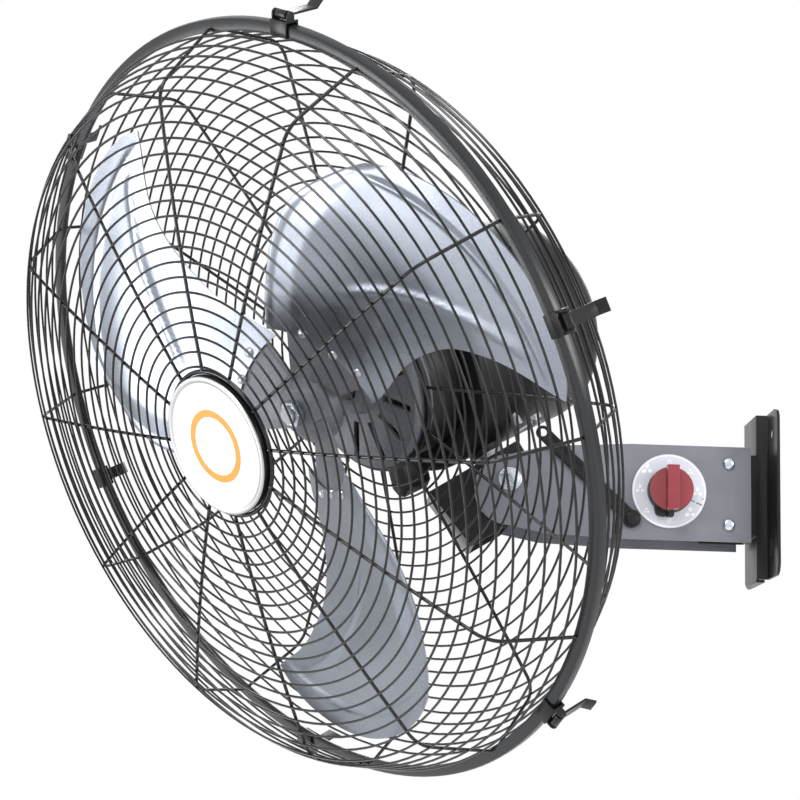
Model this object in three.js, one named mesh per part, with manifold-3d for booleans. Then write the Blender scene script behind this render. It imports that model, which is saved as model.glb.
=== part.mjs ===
// Wall mounted fan, 26 inch class, in millimetres with +Z up.
// The wall is the plane x = 0 and the arm reaches out along -X. The blades face -X and are turned
// towards -Y and tilted down. The origin lies on the wall plane at the arm's mid-plane and mid-height.
import * as THREE from 'three';
import { mergeVertices } from 'three/addons/utils/BufferGeometryUtils.js';
import Module from 'manifold-3d';

const wasm = await Module();
wasm.setup();

// ---- Driving dimensions ----
const SEAT = 0.3; // clearance between pieces that rest on or pass through each other

// Wall bracket: a hat-shaped pressing with a saddle that the arm slides over
const BRACKET_HEIGHT = 156;
const BRACKET_WIDTH = 152;
const BRACKET_WALL = 2.5;
const HAT_DEPTH = 12.5;
const HAT_WIDTH = 57;
const FLANGE_CORNER = 12;
const FOOT_DEPTH = 8;
const SADDLE_REACH = 44;
const KEYHOLE_HEIGHT = 57;
const KEYHOLE_RADIUS = 7;
const KEYHOLE_SLOT = 7.5;
const KEYHOLE_RISE = 14;
const LOWER_SLOT_HEIGHT = -50;
const LOWER_SLOT_LENGTH = 18;
const HOLE_OFFSET = 46; // keyholes and slots from the mid-plane

// Arm: a channel open below, tapering to a rounded head end
const ARM_WIDTH = 76;
const ARM_HEIGHT = 90;
const ARM_WALL = 2;
const ARM_GAP = 7; // between the arm's end and the hat
const ARM_STRAIGHT = 113; // full-height length
const ARM_HEAD_TOP = 31.5;
const ARM_HEAD_BOTTOM = 35.4;
const ARM_MOUTH = 72; // length at the head end that is open above as well
const SCREW_FROM_END = 21;
const SCREW_INSET = 16.1; // from the arm's top and bottom edges
const SCREW_RADIUS = 3;
const SCREW_HEAD_RADIUS = 5.7;
const SCREW_HEAD_HEIGHT = 3.4;

// Tilt bolt
const BOLT_REACH = 246.2; // from the wall
const BOLT_LIFT = 7.8; // above the arm's mid-height
const BOLT_RADIUS = 5;
const BOLT_HEAD_RADIUS = 8.5;
const BOLT_HEAD_HEIGHT = 5.5;
const WASHER_RADIUS = 11;
const WASHER_THICKNESS = 1.6;
const SPRING_WASHER_RADIUS = 8.2;
const SPRING_WASHER_THICKNESS = 2.2;

// Speed switch, dial and knob
const DIAL_REACH = 96.8; // from the wall
const DIAL_LIFT = 1;
const DIAL_RADIUS = 35;
const DIAL_THICKNESS = 1.2;
const BUSH_RADIUS = 5;
const BUSH_BORE = 3.4;
const NUT_RADIUS = 8;
const NUT_HEIGHT = 2.6;
const SWITCH_SIZE = 40;
const SWITCH_DEPTH = 24;
const KNOB_RADIUS = 21;
const KNOB_SKIRT = 12;
const KNOB_CAP = 3;
const KNOB_GRIP_WIDTH = 11;
const KNOB_GRIP_HEIGHT = 11;

// Electrical pieces inside the arm
const CAPACITOR_RADIUS = 14;
const CAPACITOR_LENGTH = 58;
const CAPACITOR_REACH = 178;
const CLIP_WALL = 1.5;
const TERMINAL_LENGTH = 34;
const TERMINAL_WIDTH = 20;
const TERMINAL_HEIGHT = 16;
const TERMINAL_REACH = 52;
const LEAD_RADIUS = 2;

// Neck: a bent yoke that tilts on the bolt and carries the swivel post
const NECK_WALL = 2.5;
const NECK_SIDE_GAP = 0.6;
const NECK_FRONT_FOOT = 63.5;
const NECK_FRONT_TOP = 70.9;
const NECK_BACK = 26;
const NECK_TOP = 28.3;
const NECK_FOOT = 36;
const POST_RADIUS = 9;
const POST_FLANGE_RADIUS = 14;
const POST_FLANGE_HEIGHT = 4;
const THRUST_WASHER = 2;

// Head
const MOTOR_LIFT = 64.1; // underside of the motor above the bolt
const REST_TILT = 32.2; // degrees nose down
const REST_PAN = 33.1; // degrees towards -Y

// Guard. Stations along the fan axis count forward from the swivel axis.
const RIM_STATION = 176.3; // front face of the rim flange
const RIM_RADIUS = 361;
const RIM_FLANGE = 12.5;
const RIM_WALL = 1.6;
const RIM_SKIRT = 9;
const REAR_HOOP_INSET = 6; // from the rim's edge in to the middle of the hoop's wire
const REAR_HOOP_WIRE = 4;
const COLLAR_WALL = 5; // the rear guard's collar around the motor
const WIRE_RADIUS = 1.9;
const GUARD_DEPTH = 88; // rim plane to the flat of either guard
const GUARD_CROWN = 12.6; // fall of the flat between the centre and the shoulder
const FRONT_SHOULDER_INSET = 64; // from the rim's edge in to where the flat ends
const REAR_SHOULDER_INSET = 53;
const SHOULDER_BEND = 24;
const FRONT_SLANT = 26; // degrees that the side wall leans outwards
const REAR_SLANT = 14;
const GUARD_SPOKES = 12;
const FRONT_RINGS = 5;
const REAR_RINGS = 4;
const FIRST_RING_GAP = 28; // outside the badge or the collar
const LAST_RING_INSET = 18; // inside the shoulder
const RING_SIDES = 24;

// Badge: a bare disc in the middle of the front guard
const BADGE_RADIUS = 64.6;
const BADGE_DEPTH = 8;
const BADGE_WALL = 1.2;
const BADGE_RIM = 5;

// Motor
const BELL_STATION = 98; // front face of the cast bell
const BELL_RADIUS = 82;
const HEAD_HEIGHT = MOTOR_LIFT + BELL_RADIUS; // the fan axis crosses the swivel axis here
const BELL_WALL = 4;
const BELL_DEPTH = 20;
const BOSS_RADIUS = 24;
const BOSS_HEIGHT = 10;
const SHAFT_RADIUS = 8;
const ROUND_SIDES = 32; // facets around the motor's round pieces
const BEARING_RADIUS = 17;
const BEARING_WIDTH = 11;
const COIL_CLEARANCE = 4; // between the windings and the motor shell
const STATOR_BORE = 47;
const STATOR_LENGTH = 44;
const AIR_GAP = 1;
const COIL_HEIGHT = 16;
const COVER_RADIUS = BELL_RADIUS + 24;
const COVER_WALL = 2;
const COVER_FRONT = 36;
const COVER_LENGTH = 180;
const COVER_ROUND = 26;
const CABLE_BOX_BEARING = 153; // degrees from straight up
const CABLE_BOX_DEPTH = 36;
const CABLE_BOX_WIDTH = 22;
const CABLE_BOX_FRONT = 75;
const CABLE_BOX_LENGTH = 32;

// Gearbox behind the motor, with the oscillating crank below it
const GEARBOX_WIDTH = 64;
const GEARBOX_LENGTH = 66;
const CRANK_BEARING = -73.4; // degrees about the swivel axis, from straight back
const CRANK_REACH = 46;
const CRANK_ARM = 18.6;
const CRANK_HALF_WIDTH = 7;
const CRANK_THICKNESS = 4;
const CRANK_SPINDLE = 5;
const CRANK_PIN = 3.5;
const CRANK_PIN_DROP = 4.6;
const CRANK_SPINDLE_TOP = 36; // above the gearbox shelf's underside

// Rotor
const HUB_STATION = 158;
const HUB_RADIUS = 34;
const HUB_LENGTH = 30;
const HUB_NUT_RADIUS = 13;
const HUB_NUT_HEIGHT = 9;
const SHAFT_TAIL = 24; // behind the rear bearing
const SHAFT_NOSE = 12; // in front of the hub
const SPIDER_THICKNESS = 5;
const BLADE_COUNT = 3;
const BLADE_THICKNESS = 2;
const BLADE_TIP_GAP = 35; // between the trailing tips and the rim's edge

// Guard clips
const CLIP_COUNT = 6;
const CLIP_FIRST = 15; // degrees from straight up, turning away from -Y
const CLIP_WIDTH = 20;
const CLIP_PLATE = 2;
const CLIP_OVERLAP = 12;
const LEVER_LENGTH = 42;
const LEVER_WIDTH = 12;
const LEVER_BARREL = 4;
const LEVER_PIN = 2.2;

// Oscillating link, a flat strap on the arm's near side
const STRAP_WIDTH = 13;
const STRAP_THICKNESS = 3;
const STRAP_FOOT_REACH = 132;
const STRAP_FOOT_INSET = 18.8; // above the arm's bottom edge
const STRAP_TOP_REACH = 216.2;
const STRAP_TOP_LIFT = 52.7;
const STRAP_END_RADIUS = 8.5;
const STUD_RADIUS = 3;
const STUD_HEAD_RADIUS = 6;
const STUD_HEAD_HEIGHT = 2.2;

// ---- Materials ----
function finish(color, roughness, metalness) {
  return new THREE.MeshStandardMaterial({ color, roughness, metalness });
}
const greyPaint = finish(0x8f9299, 0.45, 0.2);
const blackPaint = finish(0x17181a, 0.4, 0.1);
const wirePaint = finish(0x33363b, 0.4, 0.2);
const zinc = finish(0xc4ccd6, 0.3, 0.9);
const steel = finish(0xb4b6ba, 0.35, 0.9);
const castMetal = finish(0x9a9c9f, 0.55, 0.7);
const bladeMetal = finish(0xd4d6d9, 0.28, 0.9);
const copper = finish(0x9b5a2c, 0.5, 0.6);
const laminate = finish(0x6f7276, 0.5, 0.7);
const whitePlastic = finish(0xe6e6ea, 0.5, 0);
const redPlastic = finish(0x9c2435, 0.25, 0);
const blackPlastic = finish(0x1b1b1c, 0.5, 0);
const dialPrint = finish(0xc9c9d6, 0.5, 0);
const redWire = finish(0x8c2029, 0.5, 0);

// ---- Solid helpers ----
function toSolid(geometry) {
  const bare = geometry.clone();
  for (const name of Object.keys(bare.attributes)) {
    if (name !== 'position') bare.deleteAttribute(name);
  }
  const merged = mergeVertices(bare, 1e-4);
  const at = merged.getAttribute('position');
  const index = merged.getIndex().array;
  const a = new THREE.Vector3();
  const b = new THREE.Vector3();
  const c = new THREE.Vector3();
  const kept = [];
  let volume = 0;
  for (let i = 0; i < index.length; i += 3) {
    const [p, q, r] = [index[i], index[i + 1], index[i + 2]];
    if (p === q || q === r || r === p) continue;
    kept.push([p, q, r]);
    a.fromBufferAttribute(at, p);
    b.fromBufferAttribute(at, q);
    c.fromBufferAttribute(at, r);
    volume += a.dot(b.cross(c));
  }
  const triangles = kept.flatMap(([p, q, r]) => (volume < 0 ? [p, r, q] : [p, q, r]));
  return new wasm.Manifold(new wasm.Mesh({
    numProp: 3,
    vertProperties: new Float32Array(at.array),
    triVerts: new Uint32Array(triangles),
  }));
}

function toGeometry(solid) {
  const mesh = solid.getMesh();
  const geometry = new THREE.BufferGeometry();
  geometry.setAttribute('position', new THREE.BufferAttribute(new Float32Array(mesh.vertProperties), 3));
  geometry.setIndex(new THREE.BufferAttribute(new Uint32Array(mesh.triVerts), 1));
  geometry.computeVertexNormals();
  return geometry;
}

const join = (first, ...others) => others.reduce((sum, other) => sum.add(other), first);
const cut = (first, ...others) => others.reduce((rest, other) => rest.subtract(other), first);

function block(x0, x1, y0, y1, z0, z1) {
  const geometry = new THREE.BoxGeometry(x1 - x0, y1 - y0, z1 - z0);
  geometry.translate((x0 + x1) / 2, (y0 + y1) / 2, (z0 + z1) / 2);
  return toSolid(geometry);
}

// Rods between two places along one axis, centred on the other two coordinates
function rodX(radius, x0, x1, y = 0, z = 0, sides = 24, radiusEnd = radius) {
  const geometry = new THREE.CylinderGeometry(radius, radiusEnd, x1 - x0, sides);
  geometry.rotateZ(Math.PI / 2).translate((x0 + x1) / 2, y, z);
  return toSolid(geometry);
}

function rodY(radius, y0, y1, x = 0, z = 0, sides = 24) {
  const geometry = new THREE.CylinderGeometry(radius, radius, y1 - y0, sides);
  geometry.translate(x, (y0 + y1) / 2, z);
  return toSolid(geometry);
}

function rodZ(radius, z0, z1, x = 0, y = 0, sides = 24) {
  const geometry = new THREE.CylinderGeometry(radius, radius, z1 - z0, sides);
  geometry.rotateX(Math.PI / 2).translate(x, y, (z0 + z1) / 2);
  return toSolid(geometry);
}

// Outlines drawn in (x, z) and pushed along Y, in (y, z) and pushed along X, or in (x, y) along Z
function plateY(shape, y0, y1, curveSegments = 12) {
  const geometry = new THREE.ExtrudeGeometry(shape, { depth: y1 - y0, bevelEnabled: false, curveSegments });
  return toSolid(geometry.rotateX(Math.PI / 2).translate(0, y1, 0));
}

function plateX(shape, x0, x1, curveSegments = 12) {
  const geometry = new THREE.ExtrudeGeometry(shape, { depth: x1 - x0, bevelEnabled: false, curveSegments });
  const axes = new THREE.Matrix4().makeBasis(
    new THREE.Vector3(0, 1, 0), new THREE.Vector3(0, 0, 1), new THREE.Vector3(1, 0, 0));
  return toSolid(geometry.applyMatrix4(axes).translate(x0, 0, 0));
}

function plateZ(shape, z0, z1, curveSegments = 12) {
  const geometry = new THREE.ExtrudeGeometry(shape, { depth: z1 - z0, bevelEnabled: false, curveSegments });
  return toSolid(geometry.translate(0, 0, z0));
}

function polygon(points) {
  return new THREE.Shape(points.map(([x, y]) => new THREE.Vector2(x, y)));
}

// A turned piece about the fan axis. The profile lists [station, radius] and is closed.
function turned(profile, sides = 48) {
  const points = profile.map(([station, radius]) => new THREE.Vector2(radius, station));
  const onAxis = profile[0][1] === 0 && profile.at(-1)[1] === 0;
  if (!onAxis) points.push(points[0].clone());
  return toSolid(new THREE.LatheGeometry(points, sides).rotateZ(Math.PI / 2));
}

// A rounded slot outline standing upright
function slotShape(centreX, bottom, top, radius) {
  const shape = new THREE.Shape();
  shape.absarc(centreX, bottom + radius, radius, Math.PI, 2 * Math.PI, false);
  shape.absarc(centreX, top - radius, radius, 0, Math.PI, false);
  shape.closePath();
  return shape;
}

const radians = THREE.MathUtils.degToRad;

// ---- The assembly's frames ----
const fan = new THREE.Group();
const tiltGroup = new THREE.Group();
tiltGroup.position.set(-BOLT_REACH, 0, BOLT_LIFT);
tiltGroup.rotation.y = -radians(REST_TILT);
fan.add(tiltGroup);
const panGroup = new THREE.Group();
panGroup.position.z = HEAD_HEIGHT;
panGroup.rotation.z = radians(REST_PAN);
tiltGroup.add(panGroup);

function addPiece(parent, name, solid, material) {
  const mesh = new THREE.Mesh(toGeometry(solid), material);
  mesh.name = name;
  parent.add(mesh);
  return mesh;
}

// ---- Wall bracket ----
const hatFront = -HAT_DEPTH;
const armEnd = hatFront - ARM_GAP;
const armSide = ARM_WIDTH / 2;
const armInside = armSide - ARM_WALL;
const screwX = armEnd - SCREW_FROM_END;
const screwHeights = [ARM_HEIGHT / 2 - SCREW_INSET, SCREW_INSET - ARM_HEIGHT / 2];

function makeWallBracket() {
  const outer = HAT_WIDTH / 2;
  const inner = outer - BRACKET_WALL;
  const edge = BRACKET_WIDTH / 2;
  const half = BRACKET_HEIGHT / 2;
  const outline = polygon([
    [-BRACKET_WALL, -edge], [0, -edge], [0, -inner], [hatFront + BRACKET_WALL, -inner],
    [hatFront + BRACKET_WALL, inner], [0, inner], [0, edge], [-BRACKET_WALL, edge],
    [-BRACKET_WALL, outer], [hatFront, outer], [hatFront, -outer], [-BRACKET_WALL, -outer],
  ]);
  const hat = plateZ(outline, -half, half);
  const face = new THREE.Shape();
  const corner = FLANGE_CORNER;
  face.absarc(edge - corner, half - corner, corner, 0, Math.PI / 2, false);
  face.absarc(corner - edge, half - corner, corner, Math.PI / 2, Math.PI, false);
  face.absarc(corner - edge, corner - half, corner, Math.PI, 1.5 * Math.PI, false);
  face.absarc(edge - corner, corner - half, corner, 1.5 * Math.PI, 2 * Math.PI, false);
  let body = hat.intersect(plateX(face, hatFront - 1, 1, 5));

  // The saddle: a web on the hat and two cheeks inside the arm
  const cheek = armInside - SEAT;
  const saddleHalf = ARM_HEIGHT / 2 - ARM_WALL - 5;
  const saddleFront = hatFront - SADDLE_REACH;
  const saddle = polygon([
    [hatFront, -cheek], [hatFront, cheek], [saddleFront, cheek], [saddleFront, cheek - BRACKET_WALL],
    [hatFront - BRACKET_WALL, cheek - BRACKET_WALL], [hatFront - BRACKET_WALL, BRACKET_WALL - cheek],
    [saddleFront, BRACKET_WALL - cheek], [saddleFront, -cheek],
  ]);
  body = join(body, plateZ(saddle, -saddleHalf, saddleHalf));

  // The hat's foot folds back under the plate
  const foot = polygon([
    [hatFront, -half - BRACKET_WALL], [hatFront, -half + 1], [hatFront + BRACKET_WALL, -half + 1],
    [hatFront + BRACKET_WALL, -half], [hatFront + FOOT_DEPTH, -half],
    [hatFront + FOOT_DEPTH, -half - BRACKET_WALL],
  ]);
  body = join(body, plateY(foot, 1 - inner, inner - 1));

  for (const side of [-1, 1]) {
    const middle = side * HOLE_OFFSET;
    const keyhole = join(
      rodX(KEYHOLE_RADIUS, -BRACKET_WALL - 1, 1, middle, KEYHOLE_HEIGHT, 16),
      plateX(slotShape(middle, KEYHOLE_HEIGHT, KEYHOLE_HEIGHT + KEYHOLE_RISE, KEYHOLE_SLOT / 2),
        -BRACKET_WALL - 1, 1, 6),
    );
    const lowerSlot = slotShape(middle, LOWER_SLOT_HEIGHT - LOWER_SLOT_LENGTH / 2,
      LOWER_SLOT_HEIGHT + LOWER_SLOT_LENGTH / 2, KEYHOLE_SLOT / 2);
    body = cut(body, keyhole, plateX(lowerSlot, -BRACKET_WALL - 1, 1, 6));
    for (const height of screwHeights) {
      const [y0, y1] = side < 0 ? [-cheek - 1, 3 - cheek] : [cheek - 3, cheek + 1];
      body = cut(body, rodY(SCREW_RADIUS + SEAT, y0, y1, screwX, height, 12));
    }
  }
  return body;
}
addPiece(fan, 'wall_bracket', makeWallBracket(), blackPaint);

// ---- Arm ----
function armOutline(drop) {
  const half = ARM_HEIGHT / 2;
  const headCentre = (ARM_HEAD_TOP - ARM_HEAD_BOTTOM) / 2;
  const headRadius = (ARM_HEAD_TOP + ARM_HEAD_BOTTOM) / 2;
  const straightEnd = armEnd - ARM_STRAIGHT;
  const bendX = (straightEnd - BOLT_REACH) / 2 - half / 2;
  const shape = new THREE.Shape();
  shape.moveTo(armEnd, half - drop);
  shape.lineTo(straightEnd, half - drop);
  shape.lineTo(bendX, half - 4.4 - drop);
  shape.absarc(-BOLT_REACH, headCentre - drop, headRadius, Math.PI / 2, 1.5 * Math.PI, false);
  shape.lineTo(bendX, 3 - half - drop);
  shape.lineTo(straightEnd, -half - drop);
  shape.lineTo(armEnd, -half - drop);
  shape.closePath();
  return shape;
}

const studX = -STRAP_FOOT_REACH;
const studZ = STRAP_FOOT_INSET - ARM_HEIGHT / 2;

function makeArm() {
  const half = ARM_HEIGHT / 2;
  const beyond = -BOLT_REACH - ARM_HEIGHT;
  const mouth = -BOLT_REACH + ARM_MOUTH;
  let body = plateY(armOutline(0), -armSide, armSide, 16);
  body = cut(body,
    plateY(armOutline(ARM_WALL), -armInside, armInside, 16),
    block(armEnd - 10, armEnd + 10, -armInside, armInside, -half - 5, half - ARM_WALL),
    block(beyond, mouth, -armInside, armInside, -half - 5, half + 5));
  body = cut(body, rodY(BOLT_RADIUS + SEAT, -armSide - 1, armSide + 1, -BOLT_REACH, BOLT_LIFT, 16));
  for (const height of screwHeights) {
    body = cut(body, rodY(SCREW_RADIUS + SEAT, -armSide - 1, armSide + 1, screwX, height, 12));
  }
  body = cut(body,
    rodY(BUSH_RADIUS + SEAT, -armSide - 1, -armInside + 1, -DIAL_REACH, DIAL_LIFT, 16),
    rodY(STUD_RADIUS + SEAT, -armSide - 1, -armInside + 1, studX, studZ, 12));
  return body;
}
addPiece(fan, 'arm_channel', makeArm(), greyPaint);

// Arm screws: a domed head outside and the shank through arm and saddle
function makeArmScrew(side, height) {
  const outside = side * (armSide + SEAT);
  const tip = side * (armInside - BRACKET_WALL - 6);
  const root = outside + side;
  const shank = rodY(SCREW_RADIUS, Math.min(root, tip), Math.max(root, tip), screwX, height, 10);
  const dome = new THREE.LatheGeometry([
    new THREE.Vector2(0, 0), new THREE.Vector2(SCREW_HEAD_RADIUS, 0),
    new THREE.Vector2(SCREW_HEAD_RADIUS, 1), new THREE.Vector2(SCREW_HEAD_RADIUS * 0.75, 2.6),
    new THREE.Vector2(0, SCREW_HEAD_HEIGHT),
  ], 14);
  if (side < 0) dome.rotateX(Math.PI);
  return join(shank, toSolid(dome.translate(screwX, outside, height)));
}
for (const [sideName, side] of [['near', -1], ['far', 1]]) {
  for (const [placeName, height] of [['upper', screwHeights[0]], ['lower', screwHeights[1]]]) {
    addPiece(fan, `arm_screw_${sideName}_${placeName}`, makeArmScrew(side, height), zinc);
  }
}

// ---- Switch, dial and knob on the arm's near side ----
const dialX = -DIAL_REACH;
const plateOutside = -armSide - SEAT - DIAL_THICKNESS;

function makeSwitch() {
  const back = -armInside + SEAT + SWITCH_DEPTH;
  const half = SWITCH_SIZE / 2;
  const body = block(dialX - half, dialX + half, -armInside + SEAT, back, DIAL_LIFT - half, DIAL_LIFT + half);
  const bush = rodY(BUSH_RADIUS, plateOutside - NUT_HEIGHT - 2 * SEAT, -armInside + 1, dialX, DIAL_LIFT, 16);
  const bore = rodY(BUSH_BORE, plateOutside - NUT_HEIGHT - 1, -armInside + 16, dialX, DIAL_LIFT, 12);
  let whole = join(body, bush);
  for (const offset of [-12, 0, 12]) {
    whole = join(whole, block(dialX + offset - 2, dialX + offset + 2, back - 1, back + 6,
      DIAL_LIFT - 0.5, DIAL_LIFT + 0.5));
  }
  return cut(whole, bore);
}
addPiece(fan, 'switch_body', makeSwitch(), blackPlastic);

const dialPlate = cut(
  rodY(DIAL_RADIUS, plateOutside, -armSide - SEAT, dialX, DIAL_LIFT, 48),
  rodY(BUSH_RADIUS + SEAT, plateOutside - 1, -armSide + 1, dialX, DIAL_LIFT, 16));
addPiece(fan, 'dial_plate', dialPlate, dialPrint);

const nutTop = plateOutside - SEAT - NUT_HEIGHT;
const switchNut = cut(
  rodY(NUT_RADIUS, nutTop, plateOutside - SEAT, dialX, DIAL_LIFT, 6),
  rodY(BUSH_RADIUS + SEAT, nutTop - 1, plateOutside, dialX, DIAL_LIFT, 16));
addPiece(fan, 'switch_nut', switchNut, zinc);

const knobBase = plateOutside - 2 * SEAT;
const knobFace = knobBase - KNOB_SKIRT;

function makeKnob() {
  const skirt = rodY(KNOB_RADIUS, knobFace, knobBase, dialX, DIAL_LIFT, 36);
  const pointer = block(dialX - 3, dialX + 3, knobFace + 2, knobBase,
    DIAL_LIFT - KNOB_RADIUS - 4, DIAL_LIFT - KNOB_RADIUS + 4);
  const hollow = rodY(NUT_RADIUS + 3, knobFace + 4, knobBase + 1, dialX, DIAL_LIFT, 16);
  const stem = rodY(BUSH_BORE - SEAT, knobFace + 3, -armInside + 12, dialX, DIAL_LIFT, 12);
  return join(cut(join(skirt, pointer), hollow), stem);
}
addPiece(fan, 'selector_knob', makeKnob(), blackPlastic);

function makeKnobCap() {
  const back = knobFace - SEAT;
  const face = back - KNOB_CAP;
  const disc = rodY(KNOB_RADIUS - 0.5, face, back, dialX, DIAL_LIFT, 36);
  const half = KNOB_GRIP_WIDTH / 2;
  const grip = block(dialX - half, dialX + half, face - KNOB_GRIP_HEIGHT, face + 1,
    DIAL_LIFT - KNOB_RADIUS + 1, DIAL_LIFT + KNOB_RADIUS);
  return join(disc, grip);
}
addPiece(fan, 'knob_cap', makeKnobCap(), redPlastic);

// ---- Electrical pieces inside the arm ----
const ceiling = ARM_HEIGHT / 2 - ARM_WALL - SEAT;
const capacitorX = -CAPACITOR_REACH + CAPACITOR_LENGTH / 2;
const capacitorZ = ceiling - CAPACITOR_RADIUS - CLIP_WALL - 2.2;
const capacitorY = armInside - SEAT - CLIP_WALL - SEAT - CAPACITOR_RADIUS;
const capacitor = rodX(CAPACITOR_RADIUS, -CAPACITOR_REACH, -CAPACITOR_REACH + CAPACITOR_LENGTH,
  capacitorY, capacitorZ, 20);
addPiece(fan, 'capacitor', capacitor, whitePlastic);

function makeCapacitorClip() {
  const outer = CAPACITOR_RADIUS + SEAT + CLIP_WALL;
  const ring = cut(rodX(outer, capacitorX - 6, capacitorX + 6, capacitorY, capacitorZ, 20),
    rodX(CAPACITOR_RADIUS + SEAT, capacitorX - 7, capacitorX + 7, capacitorY, capacitorZ, 20),
    block(capacitorX - 7, capacitorX + 7, capacitorY - 6, capacitorY + 6,
      capacitorZ - outer - 1, capacitorZ - CAPACITOR_RADIUS + 4));
  return ring;
}
addPiece(fan, 'capacitor_clip', makeCapacitorClip(), steel);

const terminalX = -TERMINAL_REACH;
const terminalY = armInside - SEAT - TERMINAL_WIDTH - 8;
const terminalBlock = cut(
  block(terminalX - TERMINAL_LENGTH, terminalX, terminalY, terminalY + TERMINAL_WIDTH,
    ceiling - TERMINAL_HEIGHT, ceiling),
  ...[0, 1, 2].map((row) => rodZ(3, ceiling - TERMINAL_HEIGHT - 1, ceiling - TERMINAL_HEIGHT + 6,
    terminalX - TERMINAL_LENGTH * (row + 0.5) / 3, terminalY + TERMINAL_WIDTH / 2, 10)));
addPiece(fan, 'terminal_block', terminalBlock, whitePlastic);

// Internal leads hang in the open underside between the terminal block and the switch
function makeLead(points) {
  const route = new THREE.CatmullRomCurve3(points.map((point) => new THREE.Vector3(...point)));
  const section = new THREE.Shape();
  section.absarc(0, 0, LEAD_RADIUS, 0, 2 * Math.PI, false);
  const geometry = new THREE.ExtrudeGeometry(section, { extrudePath: route, steps: 12, curveSegments: 3 });
  return toSolid(geometry);
}
const leadTop = ceiling - TERMINAL_HEIGHT - SEAT;
const leadY = terminalY + TERMINAL_WIDTH / 2;
const switchBack = -armInside + SEAT + SWITCH_DEPTH + 6;
const leadRed = makeLead([
  [terminalX - TERMINAL_LENGTH / 6, leadY, leadTop], [terminalX - 8, leadY - 2, leadTop - 28],
  [dialX + 22, leadY - 8, -ARM_HEIGHT / 2 + 12], [dialX + 14, switchBack + 12, -16],
  [dialX + 12, switchBack + SEAT + LEAD_RADIUS, DIAL_LIFT - 5],
]);
addPiece(fan, 'switch_lead', leadRed, redWire);
const leadWhite = makeLead([
  [terminalX - TERMINAL_LENGTH * 5 / 6, leadY, leadTop], [dialX - 2, leadY + 3, -10],
  [capacitorX + 36, capacitorY, -18], [-CAPACITOR_REACH + CAPACITOR_LENGTH + 12, capacitorY, capacitorZ - 7],
  [-CAPACITOR_REACH + CAPACITOR_LENGTH + 2 * SEAT, capacitorY, capacitorZ - 5],
]);
addPiece(fan, 'capacitor_lead', leadWhite, whitePlastic);

// ---- Tilt bolt ----
const bolt = join(
  rodY(BOLT_RADIUS, -armSide - WASHER_THICKNESS - SPRING_WASHER_THICKNESS - 4 * SEAT,
    armSide + 22, -BOLT_REACH, BOLT_LIFT, 16),
  rodY(BOLT_HEAD_RADIUS,
    -armSide - WASHER_THICKNESS - SPRING_WASHER_THICKNESS - 3 * SEAT - BOLT_HEAD_HEIGHT,
    -armSide - WASHER_THICKNESS - SPRING_WASHER_THICKNESS - 3 * SEAT, -BOLT_REACH, BOLT_LIFT, 6));
addPiece(fan, 'tilt_bolt', bolt, zinc);

function ringOnBolt(outer, y0, y1, sides = 24) {
  return cut(rodY(outer, y0, y1, -BOLT_REACH, BOLT_LIFT, sides),
    rodY(BOLT_RADIUS + SEAT, y0 - 1, y1 + 1, -BOLT_REACH, BOLT_LIFT, 16));
}
const washerOuter = -armSide - SEAT;
addPiece(fan, 'tilt_washer', ringOnBolt(WASHER_RADIUS, washerOuter - WASHER_THICKNESS, washerOuter), zinc);
const springOuter = washerOuter - WASHER_THICKNESS - SEAT;
const springWasher = cut(
  ringOnBolt(SPRING_WASHER_RADIUS, springOuter - SPRING_WASHER_THICKNESS, springOuter),
  block(-BOLT_REACH - 0.8, -BOLT_REACH + 0.8, springOuter - SPRING_WASHER_THICKNESS - 1, springOuter + 1,
    BOLT_LIFT, BOLT_LIFT + WASHER_RADIUS));
addPiece(fan, 'tilt_spring_washer', springWasher, zinc);
addPiece(fan, 'tilt_nut', ringOnBolt(BOLT_HEAD_RADIUS, armSide + SEAT, armSide + SEAT + 8, 6), zinc);

// ---- Neck ----
function makeNeck() {
  const outside = armInside - NECK_SIDE_GAP;
  const inside = outside - NECK_WALL;
  const shape = new THREE.Shape();
  shape.moveTo(-NECK_FRONT_FOOT, -NECK_FOOT);
  shape.lineTo(-NECK_FRONT_TOP, NECK_TOP);
  shape.lineTo(NECK_BACK, NECK_TOP);
  shape.lineTo(NECK_BACK, 0);
  shape.absarc(0, 0, NECK_BACK, 0, -Math.PI / 2, true);
  shape.lineTo(-NECK_BACK, -NECK_FOOT);
  shape.closePath();
  const hollow = new THREE.Shape();
  hollow.moveTo(-NECK_FRONT_FOOT + NECK_WALL - 6, -NECK_FOOT - 50);
  hollow.lineTo(-NECK_FRONT_FOOT + NECK_WALL, -NECK_FOOT);
  hollow.lineTo(-NECK_FRONT_TOP + NECK_WALL, NECK_TOP - NECK_WALL);
  hollow.lineTo(NECK_BACK + 5, NECK_TOP - NECK_WALL);
  hollow.lineTo(NECK_BACK + 5, -NECK_FOOT - 50);
  hollow.closePath();
  return cut(plateY(shape, -outside, outside),
    plateY(hollow, -inside, inside),
    rodY(BOLT_RADIUS + SEAT, -outside - 1, outside + 1, 0, 0, 16),
    rodZ(POST_RADIUS + SEAT, NECK_TOP - NECK_WALL - 1, NECK_TOP + 1, 0, 0, 20));
}
addPiece(tiltGroup, 'neck_yoke', makeNeck(), blackPaint);

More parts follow.
